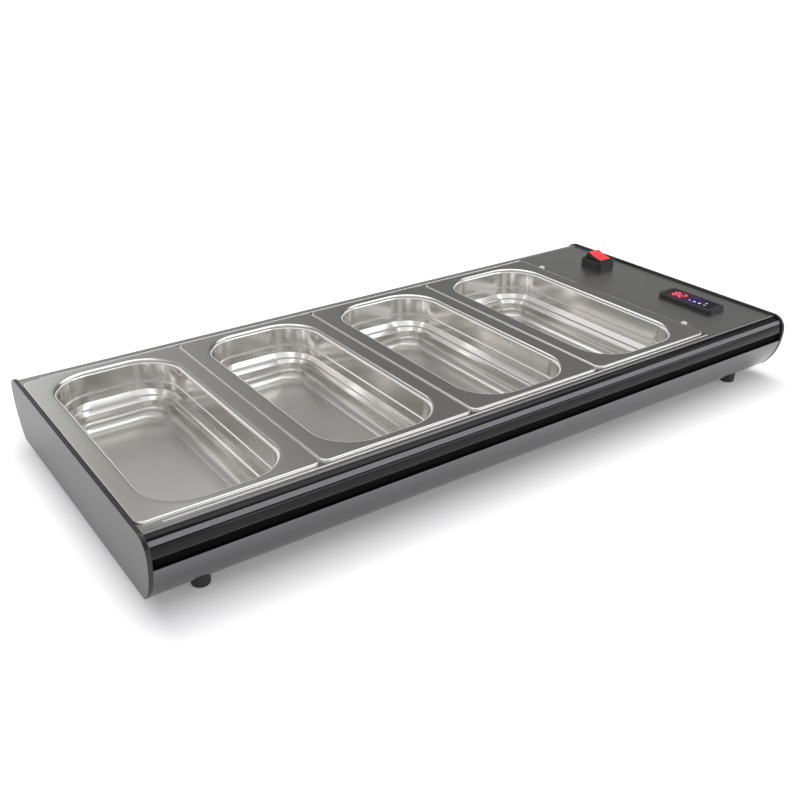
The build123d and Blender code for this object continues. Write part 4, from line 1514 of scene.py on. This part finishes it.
@dataclass
class Studio:
    """Floor, lamps, a grey card behind and the camera."""

    eye: Corner = (-0.6112, -0.8200, 0.5253)
    azimuth: float = 35.16
    elevation: float = 26.74
    lens: float = 43.457
    floor_size: float = 16.0
    footprint: Point = (400.0, 165.0)
    sensor: float = 36.0
    clip: Point = (0.02, 60.0)
    fill: str = "#fbfbff"
    fill_level: float = 0.5
    room: tuple[tuple[float, Tone], ...] = (
        (0.38, WHITE),
        (0.47, (0.34, 0.34, 0.33, 1.0)),
        (0.72, (0.34, 0.34, 0.33, 1.0)),
        (0.80, (0.62, 0.62, 0.62, 1.0)),
    )
    floor_tones: tuple[Tone, Tone] = ((0.80, 0.80, 0.80, 1.0), (0.82, 0.82, 0.82, 1.0))
    floor_mottle: float = 3.0
    shadow_stretch: Corner = (2.4, 1.0, 0.0)
    shadow_reach: Point = (-0.03, 0.11)
    floor_glow: Point = (0.1, 0.75)
    card_tones: tuple[tuple[float, Tone], ...] = (
        (0.10, (0.66, 0.67, 0.65, 1.0)),
        (0.18, (0.38, 0.3838, 0.3648, 1.0)),
        (0.27, (0.29, 0.2929, 0.2784, 1.0)),
        (0.42, (0.165, 0.165, 0.165, 1.0)),
    )
    card_fade: Point = (0.02, 0.12)
    card_centre: Corner = (4.5, 5.36, 4.1)
    card_half: Point = (5.47, 3.2)
    lamps: tuple[SoftLamp, ...] = (
        SoftLamp("overhead", (0.9, 0.85, 2.6), (3.0, 2.3), 1.1),
        SoftLamp("side_softbox", (1.87, -0.68, 1.67), (1.0, 0.5), 0.8),
        SoftLamp("front_softbox", (1.54, -2.43, 0.85), (2.2, 0.9), 1.25),
    )

    def camera(self) -> None:
        """Stands the camera where the photograph was taken from."""
        data = bpy.data.cameras.new("camera")
        data.lens = self.lens
        data.sensor_width = self.sensor
        data.clip_start, data.clip_end = self.clip
        view = bpy.data.objects.new("camera", data)
        view.location = self.eye
        turn, drop = math.radians(self.azimuth), math.radians(self.elevation)
        look = Vector((math.sin(turn) * math.cos(drop), math.cos(turn) * math.cos(drop), -math.sin(drop)))
        view.rotation_euler = look.to_track_quat("-Z", "Y").to_euler()
        bpy.context.scene.collection.objects.link(view)
        bpy.context.scene.camera = view

    def background_share(self, tree: bpy.types.NodeTree) -> bpy.types.NodeSocket:
        """1 for camera, glossy and transmission rays, else 0."""
        path = add(tree, "ShaderNodeLightPath")
        first = add(
            tree,
            "ShaderNodeMath",
            {0: path.outputs["Is Camera Ray"], 1: path.outputs["Is Glossy Ray"]},
            operation="MAXIMUM",
        )
        both = add(
            tree,
            "ShaderNodeMath",
            {0: first.outputs[0], 1: path.outputs["Is Transmission Ray"]},
            operation="MAXIMUM",
        )
        return both.outputs[0]

    def world(self) -> None:
        """A white room with a grey band above the horizon, dimmer as a lamp than it looks."""
        made = bpy.data.worlds.new("room")
        tree = empty_tree(made)
        fill = {"Color": linear(self.fill), "Strength": self.fill_level}
        lamp = add(tree, "ShaderNodeBackground", values=fill)
        place = add(tree, "ShaderNodeTexCoord")
        height = add(tree, "ShaderNodeSeparateXYZ", {0: place.outputs["Generated"]})
        tone = add(tree, "ShaderNodeValToRGB", {0: height.outputs["Z"]})
        fill_ramp(tone.color_ramp, self.room)
        path = add(tree, "ShaderNodeLightPath")
        seen = add(
            tree,
            "ShaderNodeMix",
            {"Factor": path.outputs["Is Camera Ray"], 6: tone.outputs[0]},
            {7: WHITE},
            data_type="RGBA",
        )
        shown = add(tree, "ShaderNodeBackground", {"Color": seen.outputs[2]}, {"Strength": 1.0})
        mix = add(
            tree,
            "ShaderNodeMixShader",
            {0: self.background_share(tree), 1: lamp.outputs[0], 2: shown.outputs[0]},
        )
        add(tree, "ShaderNodeOutputWorld", {"Surface": mix.outputs[0]})
        bpy.context.scene.world = made

    def floor(self) -> None:
        """A white floor that keeps the cast shadow, with a painted soft shade where its glow fades near the
        footprint; seen from below it is clear.
        """
        made = bpy.data.materials.new("studio_floor")
        tree = empty_tree(made)
        place = add(tree, "ShaderNodeTexCoord")
        broad = {"Scale": self.floor_mottle, "Detail": CLOUD_DETAIL}
        mottle = add(tree, "ShaderNodeTexNoise", {"Vector": place.outputs["Object"]}, broad)
        tone = add(
            tree,
            "ShaderNodeMix",
            {"Factor": mottle.outputs["Fac"]},
            {6: self.floor_tones[0], 7: self.floor_tones[1]},
            data_type="RGBA",
        )
        matt = add(tree, "ShaderNodeBsdfDiffuse", {"Color": tone.outputs[2]})
        flat = add(tree, "ShaderNodeVectorMath", {0: place.outputs["Object"]}, operation="ABSOLUTE")
        past = add(
            tree,
            "ShaderNodeVectorMath",
            {0: flat.outputs[0]},
            {1: (self.footprint[0] * MM, self.footprint[1] * MM, 0.0)},
            operation="SUBTRACT",
        )
        none = {1: (0.0, 0.0, 0.0)}
        kept = add(tree, "ShaderNodeVectorMath", {0: past.outputs[0]}, none, operation="MAXIMUM")
        stretch = {1: self.shadow_stretch}
        uneven = add(tree, "ShaderNodeVectorMath", {0: kept.outputs[0]}, stretch, operation="MULTIPLY")
        reach = add(tree, "ShaderNodeVectorMath", {0: uneven.outputs[0]}, operation="LENGTH")
        # Painted shade: the glow is weakest near the footprint, so the floor darkens around the body.
        glow_level = add(
            tree,
            "ShaderNodeMapRange",
            {"Value": reach.outputs["Value"]},
            {
                "From Min": self.shadow_reach[0],
                "From Max": self.shadow_reach[1],
                "To Min": self.floor_glow[0],
                "To Max": self.floor_glow[1],
            },
            interpolation_type="SMOOTHSTEP",
        )
        lift = add(
            tree,
            "ShaderNodeMath",
            {0: self.background_share(tree), 1: glow_level.outputs[0]},
            operation="MULTIPLY",
        )
        glow = add(tree, "ShaderNodeEmission", {"Strength": lift.outputs[0]}, {"Color": WHITE})
        whole = add(tree, "ShaderNodeAddShader", {0: matt.outputs[0], 1: glow.outputs[0]})
        clear = add(tree, "ShaderNodeBsdfTransparent")
        side = add(tree, "ShaderNodeNewGeometry")
        mix = add(
            tree,
            "ShaderNodeMixShader",
            {0: side.outputs["Backfacing"], 1: whole.outputs[0], 2: clear.outputs[0]},
        )
        add(tree, "ShaderNodeOutputMaterial", {"Surface": mix.outputs[0]})
        half = self.floor_size / 2
        corners = [(x * half, y * half, 0.0) for x, y in QUAD]
        mesh = bpy.data.meshes.new("floor")
        mesh.from_pydata(corners, [], [tuple(range(len(QUAD)))])
        mesh.materials.append(made)
        placed("floor", mesh)

    def hang(self, lamp: SoftLamp) -> None:
        """Hangs one soft lamp so that it faces the object."""
        data = bpy.data.lights.new(lamp.name, "AREA")
        data.shape = "RECTANGLE"
        data.size, data.size_y = lamp.size
        data.energy = lamp.radiance * math.pi * lamp.size[0] * lamp.size[1]
        made = bpy.data.objects.new(lamp.name, data)
        made.location = lamp.at
        made.rotation_euler = (-Vector(lamp.at)).to_track_quat("-Z", "Y").to_euler()
        bpy.context.scene.collection.objects.link(made)

    def card(self) -> None:
        """A soft-edged grey card behind the object that only its gloss sees."""
        made = bpy.data.materials.new("grey_card")
        tree = empty_tree(made)
        place = add(tree, "ShaderNodeTexCoord")
        split = add(tree, "ShaderNodeSeparateXYZ", {0: place.outputs["UV"]})
        tone = add(tree, "ShaderNodeValToRGB", {0: split.outputs["X"]})
        fill_ramp(tone.color_ramp, self.card_tones)
        glow = add(tree, "ShaderNodeEmission", {"Color": tone.outputs[0]}, {"Strength": 1.0})
        clear = add(tree, "ShaderNodeBsdfTransparent")
        fades = []
        for axis in ("X", "Y"):
            fold = add(
                tree, "ShaderNodeMath", {0: split.outputs[axis]}, {1: 0.5, 2: 0.5}, operation="PINGPONG"
            )
            fades.append(
                add(
                    tree,
                    "ShaderNodeMapRange",
                    {"Value": fold.outputs[0]},
                    {"From Min": self.card_fade[0], "From Max": self.card_fade[1]},
                    interpolation_type="SMOOTHSTEP",
                )
            )
        share = add(
            tree, "ShaderNodeMath", {0: fades[0].outputs[0], 1: fades[1].outputs[0]}, operation="MULTIPLY"
        )
        mix = add(
            tree, "ShaderNodeMixShader", {0: share.outputs[0], 1: clear.outputs[0], 2: glow.outputs[0]}
        )
        add(tree, "ShaderNodeOutputMaterial", {"Surface": mix.outputs[0]})
        centre = Vector(self.card_centre)
        across = Vector((centre.y, -centre.x, 0.0)).normalized() * self.card_half[0]
        upward = across.cross(centre).normalized() * self.card_half[1]
        corners = [tuple(centre + across * x + upward * y) for x, y in QUAD]
        mesh = bpy.data.meshes.new("card")
        mesh.from_pydata(corners, [], [tuple(range(len(QUAD)))])
        layer = mesh.uv_layers.new(name="UVMap")
        for loop, (x, y) in zip(layer.data, QUAD):
            loop.uv = ((x + 1) / 2, (y + 1) / 2)
        mesh.materials.append(made)
        card = placed("grey_card", mesh)
        card.visible_camera = False
        card.visible_diffuse = False
        card.visible_shadow = False
        card.visible_transmission = False

    def build(self) -> None:
        """Sets up the camera, the room, the floor, the card and the lamps."""
        self.camera()
        self.world()
        self.floor()
        self.card()
        for lamp in self.lamps:
            self.hang(lamp)
        bpy.context.scene.view_settings.view_transform = "Standard"


def main() -> None:
    """Builds the studio and the object's sub-assemblies in order."""
    logging.basicConfig(level=logging.INFO, format="%(name)s %(message)s")
    Studio().build()
    CarriedNodes().build()
    shop = Workshop()
    BodyShell().build(shop)
    for number, x in enumerate(PAN_CENTRES, start=1):
        GastronormPan(number, x).build(shop)
    ControlBay().build(shop)
    RockerSwitch().build(shop)
    Controller().build(shop)
    RubberFeet().build(shop)


if __name__ == "__main__":
    main()
